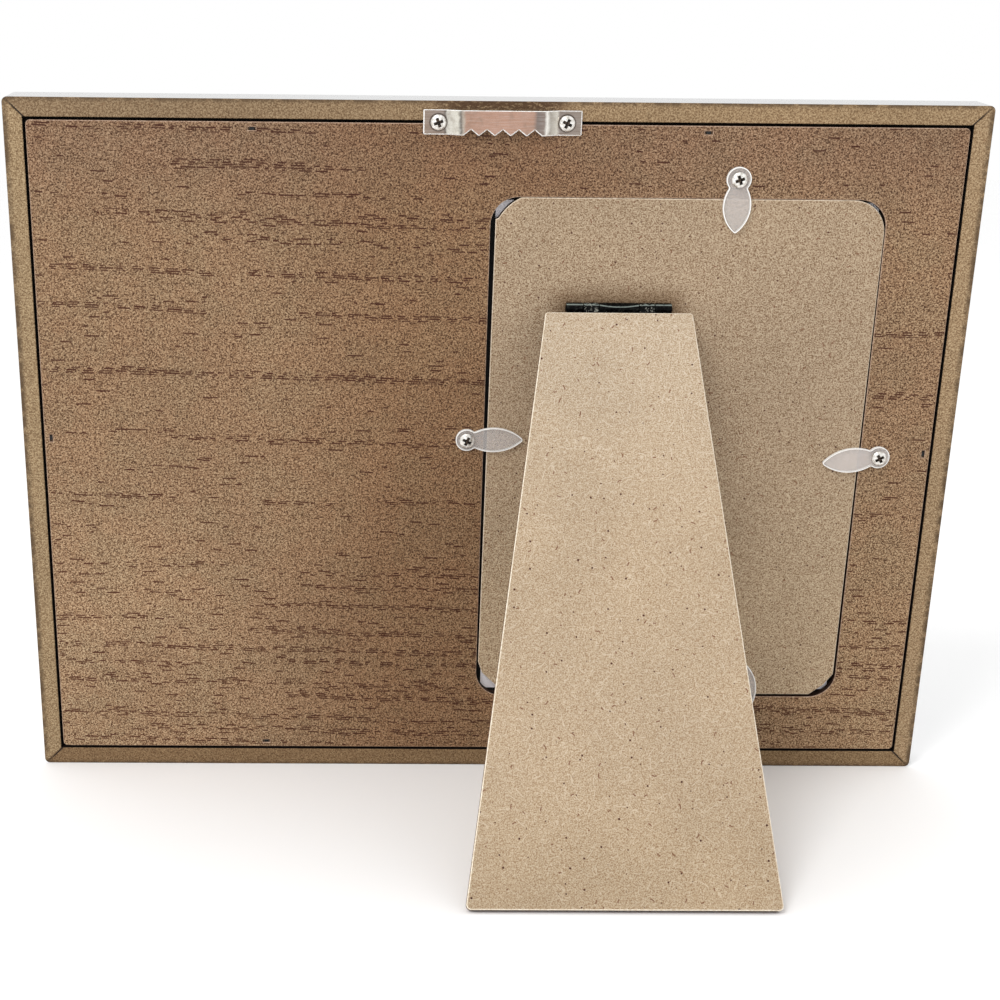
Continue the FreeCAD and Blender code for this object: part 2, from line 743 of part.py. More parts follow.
def make_screw(name, head_back, bite, x, z, turn):
    """Pan head cross screw. Its head's underside is at the depth head_back behind the frame."""
    body = new_body(name)
    head, shank = s.screw_head_radius, s.screw_radius
    point = bite - s.screw_point
    top = -head_back - s.screw_rim - s.screw_dome
    dome_radius = (head * head + s.screw_dome * s.screw_dome) / (s.screw_dome * 2)
    half_section = new_sketch(body, "half_section", "YZ_Plane")
    draw(half_section, [
        (top, 0),
        (bite, 0),
        (point, shank),
        (-head_back, shank),
        (-head_back, head),
        (-head_back - s.screw_rim, head, dome_radius, "left"),
    ])
    turned_shape = body.newObject("PartDesign::Revolution", f"{name}_turned")
    turned_shape.Profile = half_section
    turned_shape.ReferenceAxis = (half_section, ["H_Axis"])
    turned_shape.Angle = 360
    doc.recompute()
    recess = new_sketch(body, "recess", "XZ_Plane", along=top)
    long, short = s.recess_length / 2, s.recess_width / 2
    draw(recess, [
        (-long, -short), (-short, -short), (-short, -long), (short, -long),
        (short, -short), (long, -short), (long, short), (short, short),
        (short, long), (-short, long), (-short, short), (-long, short),
    ])
    pocket(body, recess, s.recess_depth)
    body.Placement = Placement(Vector(x.value, 0, z.value), Rotation(ALONG_Y, turn))
    return body


def make_hanger():
    """Bent strip: two flat ears, two ramps, and a raised bridge with notches below."""
    body = new_body("sawtooth_hanger")
    middle = s.hanger_offset
    end = s.hanger_length / 2
    ear = end - s.hanger_ear
    bridge = ear - s.hanger_ramp
    rise, thick = s.hanger_rise, s.hanger_thickness
    low = hanger_z - s.hanger_height / 2
    right_half = [(bridge, -rise), (ear, 0), (end, 0), (end, -thick), (ear, -thick),
                  (bridge, -rise - thick)]
    left_half = [(-x, y) for x, y in reversed(right_half)]
    strip = new_sketch(body, "strip", "XY_Plane", along=low)
    draw(strip, [(middle + x, y) for x, y in right_half + left_half])
    pad(body, strip, s.hanger_height)

    def bend(edge):
        offset = abs(edge.CenterOfMass.x - middle.value)
        return runs_along(edge, ALONG_Z) and (near(offset, ear) or near(offset, bridge))

    dress(body, "Fillet", s.hanger_bend, bend)
    half_pitch = s.tooth_pitch / 2
    first = middle - half_pitch * TOOTH_COUNT
    tip = low - s.tooth_tip
    notches = [(first, low - s.overrun), (first, tip)]
    for tooth in range(TOOTH_COUNT):
        start = first + s.tooth_pitch * tooth
        notches.append((start + half_pitch, low + s.tooth_depth))
        notches.append((start + s.tooth_pitch, tip))
    notches.append((first + s.tooth_pitch * TOOTH_COUNT, low - s.overrun))
    teeth = new_sketch(body, "teeth", "XZ_Plane")
    draw(teeth, notches)
    pocket(body, teeth)
    holes = new_sketch(body, "holes", "XZ_Plane")
    for x in hanger_screws_x:
        draw_circle(holes, x, hanger_z, s.hanger_hole_radius)
    pocket(body, holes)
    return body


def make_brad(name, rail, along):
    """Brad with a narrow head, sunk in the back board."""
    body = new_body(name)
    sketch = new_sketch(body, "side", "XY_Plane")
    head, shank = s.brad_head_width / 2, s.brad_shank_width / 2
    neck = s.brad_sink + s.brad_head_height
    end = s.brad_sink + s.brad_length
    draw(sketch, [(-head, s.brad_sink), (head, s.brad_sink), (head, neck), (shank, neck),
                  (shank, end), (-shank, end), (-shank, neck), (-head, neck)])
    pad(body, sketch, s.brad_across, centred=True)
    x, z = on_frame(rail, along, brad_inset)
    body.Placement = Placement(Vector(x.value, 0, z.value), Rotation(ALONG_Y, RAIL_TURNS[rail]))
    return body


def group(name, bodies):
    """Identical fasteners as one node of separate solids."""
    compound = doc.addObject("Part::Compound", name)
    compound.Label = name
    compound.Links = bodies
    return compound


def build_all():
    pieces = [make_rail(name) for name in RAIL_TURNS]
    pieces.append(rebate_sheet("glazing", glazing_back, s.glazing_thickness))
    pieces.append(make_mat_board())
    pieces.append(make_photo_insert())
    pieces.append(make_back_board())
    pieces.append(make_easel_panel())
    pieces.append(make_base_leaf())
    pieces.append(make_leg_leaf())
    pieces.append(make_pin())
    pieces.append(make_leg())
    pieces.extend(make_turn_button(name) for name in BUTTONS)
    button_seat = s.button_lift + s.button_thickness + s.screw_seat_gap
    pieces.append(group("button_screws", [
        make_screw(f"{name}_screw", button_seat, s.screw_bite, x, z, turn)
        for (name, (x, z)), turn in zip(screw_places().items(), CROSS_TURNS)]))
    pieces.append(make_hanger())
    pieces.append(group("hanger_screws", [
        make_screw(f"hanger_screw_{number}", s.hanger_thickness, s.hanger_screw_bite,
                   x, hanger_z, turn)
        for number, (x, turn) in enumerate(zip(hanger_screws_x, CROSS_TURNS), start=1)]))
    pieces.append(group("fixing_brads", [
        make_brad(f"brad_{number}", rail, along)
        for number, (rail, along, x, z) in enumerate(brad_places(), start=1)]))
    for piece in pieces:
        piece.Placement = LEANING * piece.Placement
    doc.recompute()
    return pieces


def check_all(pieces):
    for item in doc.Objects:
        if "Invalid" in item.State or "Error" in item.State:
            raise ValueError(f"{item.Name} did not compute")
    for piece in pieces:
        if piece.Shape.isNull() or not piece.Shape.isValid():
            raise ValueError(f"{piece.Label} has no valid shape")


PIECES = build_all()
check_all(PIECES)
for piece in PIECES:
    piece.Shape.exportStep(f"parts/{piece.Label}.step")
    box = piece.Shape.BoundBox
    print(f"{piece.Label}: {len(piece.Shape.Solids)} solid(s), {piece.Shape.Volume:.1f} mm3, "
          f"{box.XLength:.1f} x {box.YLength:.1f} x {box.ZLength:.1f}")
print(f"Leg opens {OPEN_DEGREES:.2f} degrees, frame leans {LEAN_ANGLE} degrees")
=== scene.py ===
# %% [markdown]
# # The back of an easel photo frame
# A small landscape frame leans on a hinged board leg and shows its bare back. The solids come
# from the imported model. This script gives them cut edges, plate, plastic and board that look
# like the real ones. Everything is in metres, and every piece stays where the model has it.

# %% Load the frame
import json
import math

import bmesh
import bpy
import numpy as np
from mathutils import Euler, Matrix, Vector


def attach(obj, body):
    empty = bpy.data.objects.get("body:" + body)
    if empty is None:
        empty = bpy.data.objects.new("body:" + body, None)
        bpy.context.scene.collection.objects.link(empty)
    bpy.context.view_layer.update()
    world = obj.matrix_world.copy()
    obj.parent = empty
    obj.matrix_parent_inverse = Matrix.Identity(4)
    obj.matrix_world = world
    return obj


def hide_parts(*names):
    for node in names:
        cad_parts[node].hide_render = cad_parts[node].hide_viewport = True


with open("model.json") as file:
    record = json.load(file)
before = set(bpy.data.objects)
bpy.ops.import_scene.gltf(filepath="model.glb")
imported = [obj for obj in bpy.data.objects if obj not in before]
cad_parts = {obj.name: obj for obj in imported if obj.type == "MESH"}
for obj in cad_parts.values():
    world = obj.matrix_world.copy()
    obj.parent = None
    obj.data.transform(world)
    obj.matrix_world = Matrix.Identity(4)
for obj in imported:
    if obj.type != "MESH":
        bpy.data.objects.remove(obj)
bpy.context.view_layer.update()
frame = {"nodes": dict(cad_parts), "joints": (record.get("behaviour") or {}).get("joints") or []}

MM = 0.001

# %% [markdown]
# ## Two sheets to measure from
# Nearly all of this object is flat board. The frame leans, and the leg slopes the other way, so
# heights along the room's Z axis say little. It is easier to work on the boards themselves:
# millimetres to the right, millimetres up the board, and millimetres out of its back. The model
# gives both slopes. A turn button turns about the line that stands square to the frame's back,
# and the leg's largest face gives the slope of the leg.

# %% The slope and the place of each sheet


def corners_of(node):
    return np.array([corner.co for corner in frame["nodes"][node].data.vertices])


def biggest_face(node):
    """The direction that most of a node's area faces, on the side away from the photo."""
    sums = {}
    for face in frame["nodes"][node].data.polygons:
        if face.normal.y < -0.5:
            key = tuple(round(value, 2) for value in face.normal)
            sums[key] = sums.get(key, Vector()) + face.normal * face.area
    return max(sums.values(), key=lambda total: total.length).normalized()


class Sheet:
    """A flat board in space, measured in millimetres from its lower edge and its back."""

    def __init__(self, node, outward):
        self.outward = outward
        self.up = Vector((0, outward.z, -outward.y))
        self.turn = math.atan2(-outward.y, outward.z)
        corners = corners_of(node)
        self.level = float((corners @ np.array(self.up)).min())
        self.face = float((corners @ np.array(outward)).max())

    def measure(self, points):
        """Room coordinates in metres as right, up and out in millimetres."""
        points = np.asarray(points)
        return np.stack([points[:, 0], points @ np.array(self.up) - self.level,
                         points @ np.array(self.outward) - self.face], axis=1) / MM


squarely_back = -Vector(next(joint["axis"] for joint in frame["joints"]
                             if joint["name"] == "button_top_turn"))
back = Sheet("bottom_rail", squarely_back)
leg = Sheet("leg_strut", biggest_face("leg_strut"))
width = 2 * corners_of("top_rail")[:, 0].max() / MM
height = back.measure(corners_of("top_rail"))[:, 1].max()
print("the frame's back is", round(width), "by", round(height), "mm and leans",
      round(math.degrees(back.turn) - 90, 1), "degrees")
print("the leg slopes", round(90 - math.degrees(leg.turn), 1), "degrees the other way")

# %% [markdown]
# ## Camera
# The photo was taken from close by and a little above, so the sides of the frame run together
# towards the bottom and the foot of the leg looks large. The camera's place came from the four
# corners of the frame, whose corners are square. A long lens far away would lose that look.

# %% Camera
# Its place in metres, its turn about X, Y and Z in degrees, and its focal length in millimetres.
CAMERA_PLACE = (-0.042759, -0.527348, 0.225074)
CAMERA_TURN = (77.5426, -0.5254, -0.6345)
FOCAL_LENGTH = 59.94
CAMERA_SHIFT = (0.114, 0.009)


def add_object(name, data):
    item = bpy.data.objects.new(name, data)
    bpy.context.scene.collection.objects.link(item)
    return item


camera_data = bpy.data.cameras.new("camera")
camera_data.sensor_width = 36
camera_data.lens = FOCAL_LENGTH
camera_data.shift_x, camera_data.shift_y = CAMERA_SHIFT
camera_data.clip_start = 0.01
camera = add_object("camera", camera_data)
camera_turn = Euler([math.radians(angle) for angle in CAMERA_TURN])
camera.matrix_world = Matrix.LocRotScale(Vector(CAMERA_PLACE), camera_turn, None)
bpy.context.scene.camera = camera
print("camera at", [round(value, 3) for value in camera.matrix_world.translation])

# %% [markdown]
# ## Floor and light
# The object stands on a white sweep in even light, so colours read true and shadows stay soft.
# A bright, even sky does most of the work. One broad lamp high on the left adds the small
# shadows that show which pieces stand proud: the hanger's bridge, the buttons and the leg. The
# floor is made as a wide round sheet with its own slightly uneven paper finish.

# %% Helpers that add a node to a tree


def put(tree, kind, inputs=(), **settings):
    """Add a node. An input is given by name or number, as a value or another node's socket."""
    node = tree.nodes.new(kind)
    for name, value in settings.items():
        setattr(node, name, value)
    for name, value in dict(inputs).items():
        if isinstance(value, bpy.types.NodeSocket):
            tree.links.new(value, node.inputs[name])
        else:
            node.inputs[name].default_value = value
    return node


def tree_of(*values):
    """The tree that the sockets among these values belong to."""
    return next(value.id_data for value in values if isinstance(value, bpy.types.NodeSocket))


def work(operation, *values, clamp=False):
    """One step of arithmetic on values or sockets."""
    return put(tree_of(*values), "ShaderNodeMath", enumerate(values), operation=operation,
               use_clamp=clamp).outputs[0]


def times(first, second):
    return work("MULTIPLY", first, second)


def plus(first, second):
    return work("ADD", first, second)


def minus(first, second):
    return work("SUBTRACT", first, second)


def split(place):
    """The three parts of a place. On a sheet they are right, up and out."""
    return list(put(place.id_data, "ShaderNodeSeparateXYZ", {0: place}).outputs)


def blots(place, size, detail=2, rough=0.55, stretch=None, shift=0, twist=0):
    """Cloudy noise, from 0 to 1, with blots about size millimetres across."""
    if stretch or shift:
        moves = {0: place, 1: stretch or (1, 1, 1), 2: (shift, shift, shift)}
        place = put(place.id_data, "ShaderNodeVectorMath", moves,
                    operation="MULTIPLY_ADD").outputs[0]
    return put(place.id_data, "ShaderNodeTexNoise", {
        "Vector": place, "Scale": 1 / size, "Detail": detail, "Roughness": rough,
        "Distortion": twist}).outputs["Fac"]


def fade(value, start, stop, low=0, high=1):
    """Ease from low to high while value goes from start to stop."""
    ends = {0: value, 1: start, 2: stop, 3: low, 4: high}
    return put(value.id_data, "ShaderNodeMapRange", ends,
               interpolation_type="SMOOTHSTEP").outputs[0]


def near_to(value, middle, half, ease, strength=1.0):
    """Strength while value is within half of middle, easing to nothing over ease more."""
    off = work("ABSOLUTE", minus(value, middle))
    return fade(off, half + ease, half, 0, strength)


def blend(share, first, second, kind="MIX"):
    """Colour between first and second."""
    return put(tree_of(share, first, second), "ShaderNodeMix", {0: share, 6: first, 7: second},
               data_type="RGBA", blend_type=kind).outputs[2]


def colour(red, green, blue):
    """A colour given from 0 to 255, as the light values that Blender works with."""
    picked = [value / 255 for value in (red, green, blue)]
    return (*[value / 12.92 if value <= 0.04045 else ((value + 0.055) / 1.055) ** 2.4
              for value in picked], 1)


def grey(level):
    return colour(level, level, level)


# %% A new material, and where its pattern lies


def new_material(name, roughness=0.6, **plain):
    """A material with its shader. Plain settings are the same all over the piece."""
    material = bpy.data.materials.new(name)
    material.use_nodes = True
    tree = material.node_tree
    shader = tree.nodes["Principled BSDF"]
    shader.inputs["Roughness"].default_value = roughness
    for name, value in plain.items():
        shader.inputs[name.replace("_", " ")].default_value = value
    return material, tree, shader


def place_on(tree, sheet):
    """Right, up and out on a sheet, in millimetres, for the patterns of one material."""
    where = put(tree, "ShaderNodeTexCoord").outputs["Object"]
    node = put(tree, "ShaderNodeMapping", {
        "Vector": where, "Location": (0, -sheet.level / MM, -sheet.face / MM),
        "Rotation": (-sheet.turn, 0, 0), "Scale": (1 / MM, 1 / MM, 1 / MM)})
    return node.outputs[0]


def feed(node, **sockets):
    """Link sockets to a node's inputs. A name has _ where the input's name has a space."""
    for name, socket in sockets.items():
        node.id_data.links.new(socket, node.inputs[name.replace("_", " ")])


def rough_up(shader, height, depth):
    """Small bumps, depth metres high."""
    bump = put(shader.id_data, "ShaderNodeBump", {"Height": height, "Distance": depth})
    feed(shader, Normal=bump.outputs[0])


def two_tone(name, size, dark, light, eased=None, detail=3, rough=0.55, stretch=None,
             sheet=back, gloss=None, bumps=0, **plain):
    """A finish that goes between two colours with blots about size millimetres across.

    eased is where the change starts and ends, gloss the range of roughness, bumps a height.
    """
    material, tree, shader = new_material(name, **plain)
    drift = blots(place_on(tree, sheet), size, detail, rough, stretch)
    share = fade(drift, *eased) if eased else drift
    feed(shader, Base_Color=blend(share, dark, light))
    if gloss:
        feed(shader, Roughness=fade(drift, 0.3, 0.7, *gloss))
    if bumps:
        rough_up(shader, drift, bumps)
    return material


# %% Floor
sweep_material, tree, shader = new_material("white_sweep", roughness=0.9)
where = put(tree, "ShaderNodeTexCoord").outputs["Object"]
paper = blots(where, 0.4, detail=3)
feed(shader, Base_Color=blend(paper, grey(252), grey(255)))

FLOOR_RADIUS, FLOOR_RINGS, FLOOR_SPOKES = 12, 24, 96
points = [(0, 0, 0)]
for ring in range(1, FLOOR_RINGS + 1):
    reach = FLOOR_RADIUS * (ring / FLOOR_RINGS) ** 2
    points += [(reach * math.cos(math.tau * spoke / FLOOR_SPOKES),
                reach * math.sin(math.tau * spoke / FLOOR_SPOKES), 0)
               for spoke in range(FLOOR_SPOKES)]
faces = [(0, 1 + spoke, 1 + (spoke + 1) % FLOOR_SPOKES) for spoke in range(FLOOR_SPOKES)]
for ring in range(FLOOR_RINGS - 1):
    inner, outer = 1 + ring * FLOOR_SPOKES, 1 + (ring + 1) * FLOOR_SPOKES
    faces += [(inner + spoke, outer + spoke, outer + (spoke + 1) % FLOOR_SPOKES,
               inner + (spoke + 1) % FLOOR_SPOKES) for spoke in range(FLOOR_SPOKES)]
floor_mesh = bpy.data.meshes.new("floor")
floor_mesh.from_pydata(points, [], faces)
floor_mesh.materials.append(sweep_material)
floor = add_object("floor", floor_mesh)
print("floor with", len(faces), "faces")

# %% Light
world = bpy.data.worlds.new("even_sky")
world.use_nodes = True
sky = world.node_tree.nodes["Background"]
sky.inputs["Color"].default_value = (1, 1, 1, 1)
sky.inputs["Strength"].default_value = 1
bpy.context.scene.world = world
bpy.context.scene.view_settings.view_transform = "Standard"


def add_lamp(name, place, aim, size, power):
    lamp_data = bpy.data.lights.new(name, "AREA")
    lamp_data.shape = "DISK"
    lamp_data.size = size
    lamp_data.energy = power
    lamp = add_object(name, lamp_data)
    lamp.location = place
    lamp.rotation_euler = (Vector(aim) - Vector(place)).to_track_quat("-Z", "Y").to_euler()


add_lamp("lamp_high_left", (-0.8, -1.2, 1.5), (0, 0, 0.1), 0.7, 16)

# %% [markdown]
# ## Pressed fibre board
# The back board, the panel, the leg and the bare back of the moulding are pressed wood fibre.
# Close up it is a felt of short fibres: a fine light and dark mottle half a millimetre across,
# some curled pale fibres a few millimetres long, and dark specks of bark. Each board mixes these
# in its own way, so the pattern is one node group with inputs for its colours and amounts, and
# every board material uses it. The fibres are drawn cell by cell: a cell pattern scatters
# points, and round each point one short bowed line is turned by a random angle.

# %% Node group: fibre board


def new_group(name, inputs, outputs):
    """An empty shader group. Inputs and outputs are (name, kind) pairs."""
    tree = bpy.data.node_groups.new(name, "ShaderNodeTree")
    for direction, sockets in (("INPUT", inputs), ("OUTPUT", outputs)):
        for title, kind in sockets:
            tree.interface.new_socket(title, in_out=direction, socket_type="NodeSocket" + kind)
    return tree, put(tree, "NodeGroupInput"), put(tree, "NodeGroupOutput")


def scattered_points(place, cell):
    """The nearest of many points about cell millimetres apart, and three chances of its own."""
    tree = place.id_data
    cells = put(tree, "ShaderNodeTexVoronoi", {"Vector": place, "Scale": 1 / cell},
                voronoi_dimensions="2D", feature="F1").outputs
    return cells, put(tree, "ShaderNodeSeparateColor", {0: cells["Color"]}).outputs


def scattered_strokes(place, cell, length, thick, share, bow=0.06):
    """Mask of short bowed lines at random angles, one in each of a share of the cells."""
    tree = place.id_data
    cells, chance = scattered_points(place, cell)
    away = put(tree, "ShaderNodeVectorMath", {0: place, 1: cells["Position"]},
               operation="SUBTRACT").outputs[0]
    turned = put(tree, "ShaderNodeVectorRotate",
                 {"Vector": away, "Angle": times(chance[0], math.tau)},
                 rotation_type="Z_AXIS").outputs[0]
    along, across, _ = split(turned)
    bent = times(work("POWER", along, 2), bow)
    on_line = fade(work("ABSOLUTE", minus(across, bent)), thick, thick / 2)
    in_reach = work("LESS_THAN", work("ABSOLUTE", along), times(chance[1], length))
    picked = work("LESS_THAN", chance[2], share)
    return times(times(on_line, in_reach), picked)


def scattered_specks(place, cell, size, share):
    """Mask of small round specks, one in each of a share of the cells."""
    cells, chance = scattered_points(place, cell)
    size = times(plus(chance[0], 0.3), size / cell)
    inside = fade(cells["Distance"], size, times(size, 0.5))
    return times(inside, work("LESS_THAN", chance[2], share))


def curled_lines(place, size, thick, shift):
    """Mask of fine curled lines, broken up: they run where a noise passes its middle value."""
    noise = blots(place, size, detail=1, twist=1.2, shift=shift)
    off = work("ABSOLUTE", minus(noise, 0.5))
    broken = fade(blots(place, size * 0.8, detail=1, shift=shift + 13), 0.5, 0.58)
    return times(fade(off, thick, thick / 3), broken)


def moved(place, right, up):
    """The same place, moved, so that two patterns of one kind don't fall on each other."""
    return put(place.id_data, "ShaderNodeVectorMath", {0: place, 1: (right, up, 0)},
               operation="ADD").outputs[0]


fibre_group, given, result = new_group(
    "fibre_board",
    (("Place", "Vector"), ("Ground", "Color"), ("Dark", "Color"), ("Pale", "Color"),
     ("Grain", "Float"), ("Contrast", "Float"), ("Fibres", "Float"), ("Specks", "Float")),
    (("Color", "Color"), ("Height", "Float")))
tree, inside = fibre_group, given.outputs
place, amount = inside["Place"], inside["Contrast"]
grain_place = put(tree, "ShaderNodeVectorMath",
                  {0: place, "Scale": work("DIVIDE", 1, inside["Grain"])},
                  operation="SCALE").outputs[0]
fine = blots(grain_place, 1, detail=1, rough=0.5, twist=0.7)
coarse = blots(grain_place, 4, detail=2, rough=0.6, shift=31)
FINE_SHARE = 0.93
mottle = plus(times(fine, FINE_SHARE), times(coarse, 1 - FINE_SHARE))
darks = times(fade(mottle, 0.49, 0.38), amount)
pales = times(fade(mottle, 0.5, 0.63), amount)
shade = blend(darks, inside["Ground"], inside["Dark"])
shade = blend(pales, shade, inside["Pale"])
print("mottle made")

# %% Fibres, specks and slow drift of colour in the fibre board
fibres, bark = inside["Fibres"], inside["Specks"]
dark_curls = times(curled_lines(grain_place, size=3.2, thick=0.06, shift=5), amount)
pale_curls = curled_lines(grain_place, size=5, thick=0.035, shift=23)
strokes = scattered_strokes(place, cell=4.4, length=2.2, thick=0.18, share=0.55)
pale_fibres = times(work("MAXIMUM", pale_curls, strokes), fibres)
aside = moved(place, 17, 5)
slivers = times(scattered_strokes(aside, cell=4.5, length=0.85, thick=0.26, share=0.28,
                                  bow=0.25), bark)
specks = times(scattered_specks(place, cell=5, size=0.36, share=0.45), bark)
shade = blend(times(dark_curls, 0.7), shade, inside["Dark"])
shade = blend(pale_fibres, shade, inside["Pale"])
shade = blend(times(slivers, 0.8), shade, colour(104, 58, 32))
shade = blend(specks, shade, colour(66, 26, 14))
drift = fade(blots(place, 45, detail=2, shift=7), 0.3, 0.7, 0.95, 1.05)
shade = put(tree, "ShaderNodeVectorMath", {0: shade, "Scale": drift},
            operation="SCALE").outputs[0]
feed(result, Color=shade, Height=plus(mottle, times(pale_fibres, 0.3)))
print("fibre board group with", len(tree.nodes), "nodes")

# %% [markdown]
# ## Rows of dark dashes
# The brown board is printed with broken rows of short dark dashes, like the pores of a darker
# wood, and the rows fall slightly to the right. The printer's pattern is made in two steps. The
# board is ruled into narrow lines, each line into cells, and each cell may hold one dash with
# its own length and weight. Then a list of rows says where on the board the dashes crowd. So a
# row is moved, shortened or weakened by one number in the list.

# %% Where the rows lie
# Each row is its level at the left edge of the board, its left and right end, its strength and
# half its thickness, all but the strength in millimetres. The rows fall by a share of the way
# to the right, and wander up and down a little.
ROWS = ((231.8, -152, -60, 0.6, 1), (221.5, -109, -64, 1, 0.9), (219.8, -112, -60, 1, 0.8),
        (220.5, -60, -42, 0.6, 1), (211.9, -86, -32, 0.6, 1), (209.3, -152, -112, 0.5, 0.8),
        (204, -132, -60, 0.7, 1.2), (205.5, -46, 2, 0.8, 1), (202.6, -114, 2, 0.6, 0.7),
        (196.4, -84, 2, 0.4, 1.6), (185.2, -150, -92, 1, 1), (185.2, -82, -8, 0.95, 1),
        (175.3, -134, -94, 0.6, 0.8), (172.3, -152, -98, 0.95, 0.9), (171.8, -64, 152, 1, 1),
        (150.2, -151, 152, 1, 1.2), (129.1, -138, -110, 0.5, 0.9), (127.4, -110, -11, 0.8, 1),
        (105.3, -151, -110, 0.9, 0.9), (104.6, -80, -50, 0.85, 0.7), (106, -40, 152, 0.6, 1),
        (93.3, -146, -132, 0.6, 0.9), (80.3, -152, -90, 0.5, 1.8), (78.5, -70, -2, 0.7, 1),
        (73.4, -60, -2, 0.9, 0.9), (69.5, -124, -106, 0.8, 0.8), (65.8, -84, 152, 0.9, 1),
        (59.3, -152, -108, 0.9, 0.9), (55.5, -84, 152, 0.85, 1), (48.6, -152, 152, 0.8, 1.2),
        (43.9, -70, 152, 0.9, 1), (41.5, -148, -100, 0.85, 0.9), (35, -152, -10, 0.7, 1.1),
        (30, -72, 152, 1, 1.2), (21.3, -152, 152, 0.7, 1), (16.5, -120, 0, 0.8, 1.3),
        (11, -150, -40, 0.6, 1))
ROW_START, ROW_FALL, ROW_WANDER = -152, 0.025, 2.4
print("rows of dashes:", len(ROWS))

# %% Node group: rows of dashes
# How far apart the ruled lines lie and how long a cell is, in millimetres.
DASH_LINE, DASH_CELL = 0.8, 5.5
row_group, given, result = new_group("rows_of_dashes", (("Place", "Vector"),),
                                     (("Mask", "Float"),))
tree, place = row_group, given.outputs["Place"]
right, up, _ = split(place)
wander = blots(place, 22, detail=1, stretch=(1, 0.4, 0), shift=3)
wander = times(minus(wander, 0.5), ROW_WANDER)
fallen = times(minus(right, ROW_START), ROW_FALL)
level = plus(plus(up, fallen), wander)

crowd = fade(level, 95, 60, 0.035, 0.08)
for row_level, first, last, strength, half in ROWS:
    on_row = near_to(level, row_level, half * 0.75, half * 0.55, strength)
    in_length = near_to(right, (first + last) / 2, (last - first) / 2 - 3, 6)
    crowd = work("MAXIMUM", crowd, times(on_row, in_length))

ragged = blots(place, 0.7, detail=1, stretch=(0.5, 1, 0))
ragged = times(minus(ragged, 0.5), 0.4)
ruled = work("DIVIDE", level, DASH_LINE)
line = work("FLOOR", ruled)
line_shift = put(tree, "ShaderNodeTexWhiteNoise", {"W": line}, noise_dimensions="1D")
along = plus(work("DIVIDE", right, DASH_CELL), times(line_shift.outputs["Value"], 9))
cell = work("FLOOR", along)
cell_place = put(tree, "ShaderNodeCombineXYZ", {0: cell, 1: line}).outputs[0]
dice = put(tree, "ShaderNodeTexWhiteNoise", {"Vector": cell_place}, noise_dimensions="2D")
chance = put(tree, "ShaderNodeSeparateColor", {0: dice.outputs["Color"]}).outputs
length = plus(times(chance[1], 0.75), 0.2)
left_over = minus(length, minus(along, cell))
in_dash = fade(plus(left_over, times(ragged, 0.3)), 0, 0.05)
off_line = work("ABSOLUTE", minus(minus(ruled, line), 0.5))
on_line = fade(plus(off_line, ragged), 0.38, 0.26)
present = work("LESS_THAN", chance[0], crowd)
weight = plus(times(chance[2], 0.2), 0.8)
dash = times(times(in_dash, on_line), times(present, weight))
feed(result, Mask=dash)
print("dash group with", len(tree.nodes), "nodes")

# %% [markdown]
# ## Board materials
# The colours differ: the back board is a red brown, the panel a yellower tan, the leg paler
# again, and the moulding's back an olive tan. Where a board was sawn or stamped, its edge is
# scorched nearly black, with a thin pale line where the corner was rubbed off; that line is
# painted paler still, as a highlight. So each board has three materials: its face, the rubbed
# corner line with its painted highlight, and the scorched cut.

# %% Fibre board faces
# The back board has painted light at its lower corners, which are paler, and painted shade left
# of the cut-out and along its top, which are darker.
# The panel has a painted shadow round the hinge and painted light over its lower part. The leg
# is darker at its foot and paler towards its top, which is painted shade and painted light.


def use_group(group, **values):
    """Place a shader group. Its inputs are given by name, as values or sockets."""
    return put(tree_of(*values.values()), "ShaderNodeGroup", values, node_tree=group).outputs


def tinted(amount, shade, tint):
    """The shade times a tint, given as light values, to the amount asked for."""
    return blend(amount, shade, blend(1, shade, (*tint, 1), "MULTIPLY"))


def board_face(name, sheet, ground, dark, pale, grain, contrast, fibres, specks):
    material, tree, shader = new_material(name, roughness=0.75, Specular_IOR_Level=0.25)
    place = place_on(tree, sheet)
    fibre = use_group(fibre_group, Place=place, Ground=ground, Dark=dark, Pale=pale,
                      Grain=grain, Contrast=contrast, Fibres=fibres, Specks=specks)
    feed(shader, Base_Color=fibre["Color"])
    rough_up(shader, fibre["Height"], 0.12 * MM)
    return material, shader, place, fibre["Color"]


brown_face, shader, place, shade = board_face(
    "brown_board_face", back, colour(134, 103, 75), colour(68, 42, 23), colour(172, 143, 112),
    grain=0.5, contrast=0.95, fibres=0.35, specks=0.3)
dashes = use_group(row_group, Place=place)["Mask"]
shade = blend(dashes, shade, colour(64, 27, 10))
right, up, _ = split(place)
patches = fade(blots(place, 16, detail=3, shift=61), 0.42, 0.6)
# Painted light at the lower corners; painted shade left of the cut-out and along the top.
painted_light_lower_left = times(fade(right, -30, -150), fade(up, 150, 50))
painted_light_lower_right = times(fade(right, 60, 140), fade(up, 150, 50))
for share, tint in ((patches, (0.97, 1.01, 1.02)), (painted_light_lower_left, (1.24, 1.3, 1.34)),
                    (near_to(right, -12, 12, 60), (0.86, 0.8, 0.74)),
                    (fade(up, 190, 228), (0.86, 0.83, 0.86)),
                    (painted_light_lower_right, (1.16, 1.2, 1.2))):
    shade = tinted(share, shade, tint)
feed(shader, Base_Color=shade)

panel_face, shader, place, shade = board_face(
    "panel_face", back, colour(159, 137, 112), colour(110, 84, 58), colour(187, 168, 142),
    grain=0.45, contrast=0.85, fibres=0.7, specks=0.9)
right, up, _ = split(place)
hinge_right, hinge_up, _ = back.measure(corners_of("hinge_pin")).mean(axis=0)
# Painted shadow: the panel is darker round the hinge.
painted_hinge_shadow = times(near_to(right, hinge_right, 17, 9), near_to(up, hinge_up, 1, 9))
shade = tinted(painted_hinge_shadow, shade, (0.62, 0.55, 0.48))
# Painted light: the panel is paler over its lower part.
shade = tinted(fade(up, 150, 50), shade, (1.14, 1.16, 1.14))
feed(shader, Base_Color=shade)

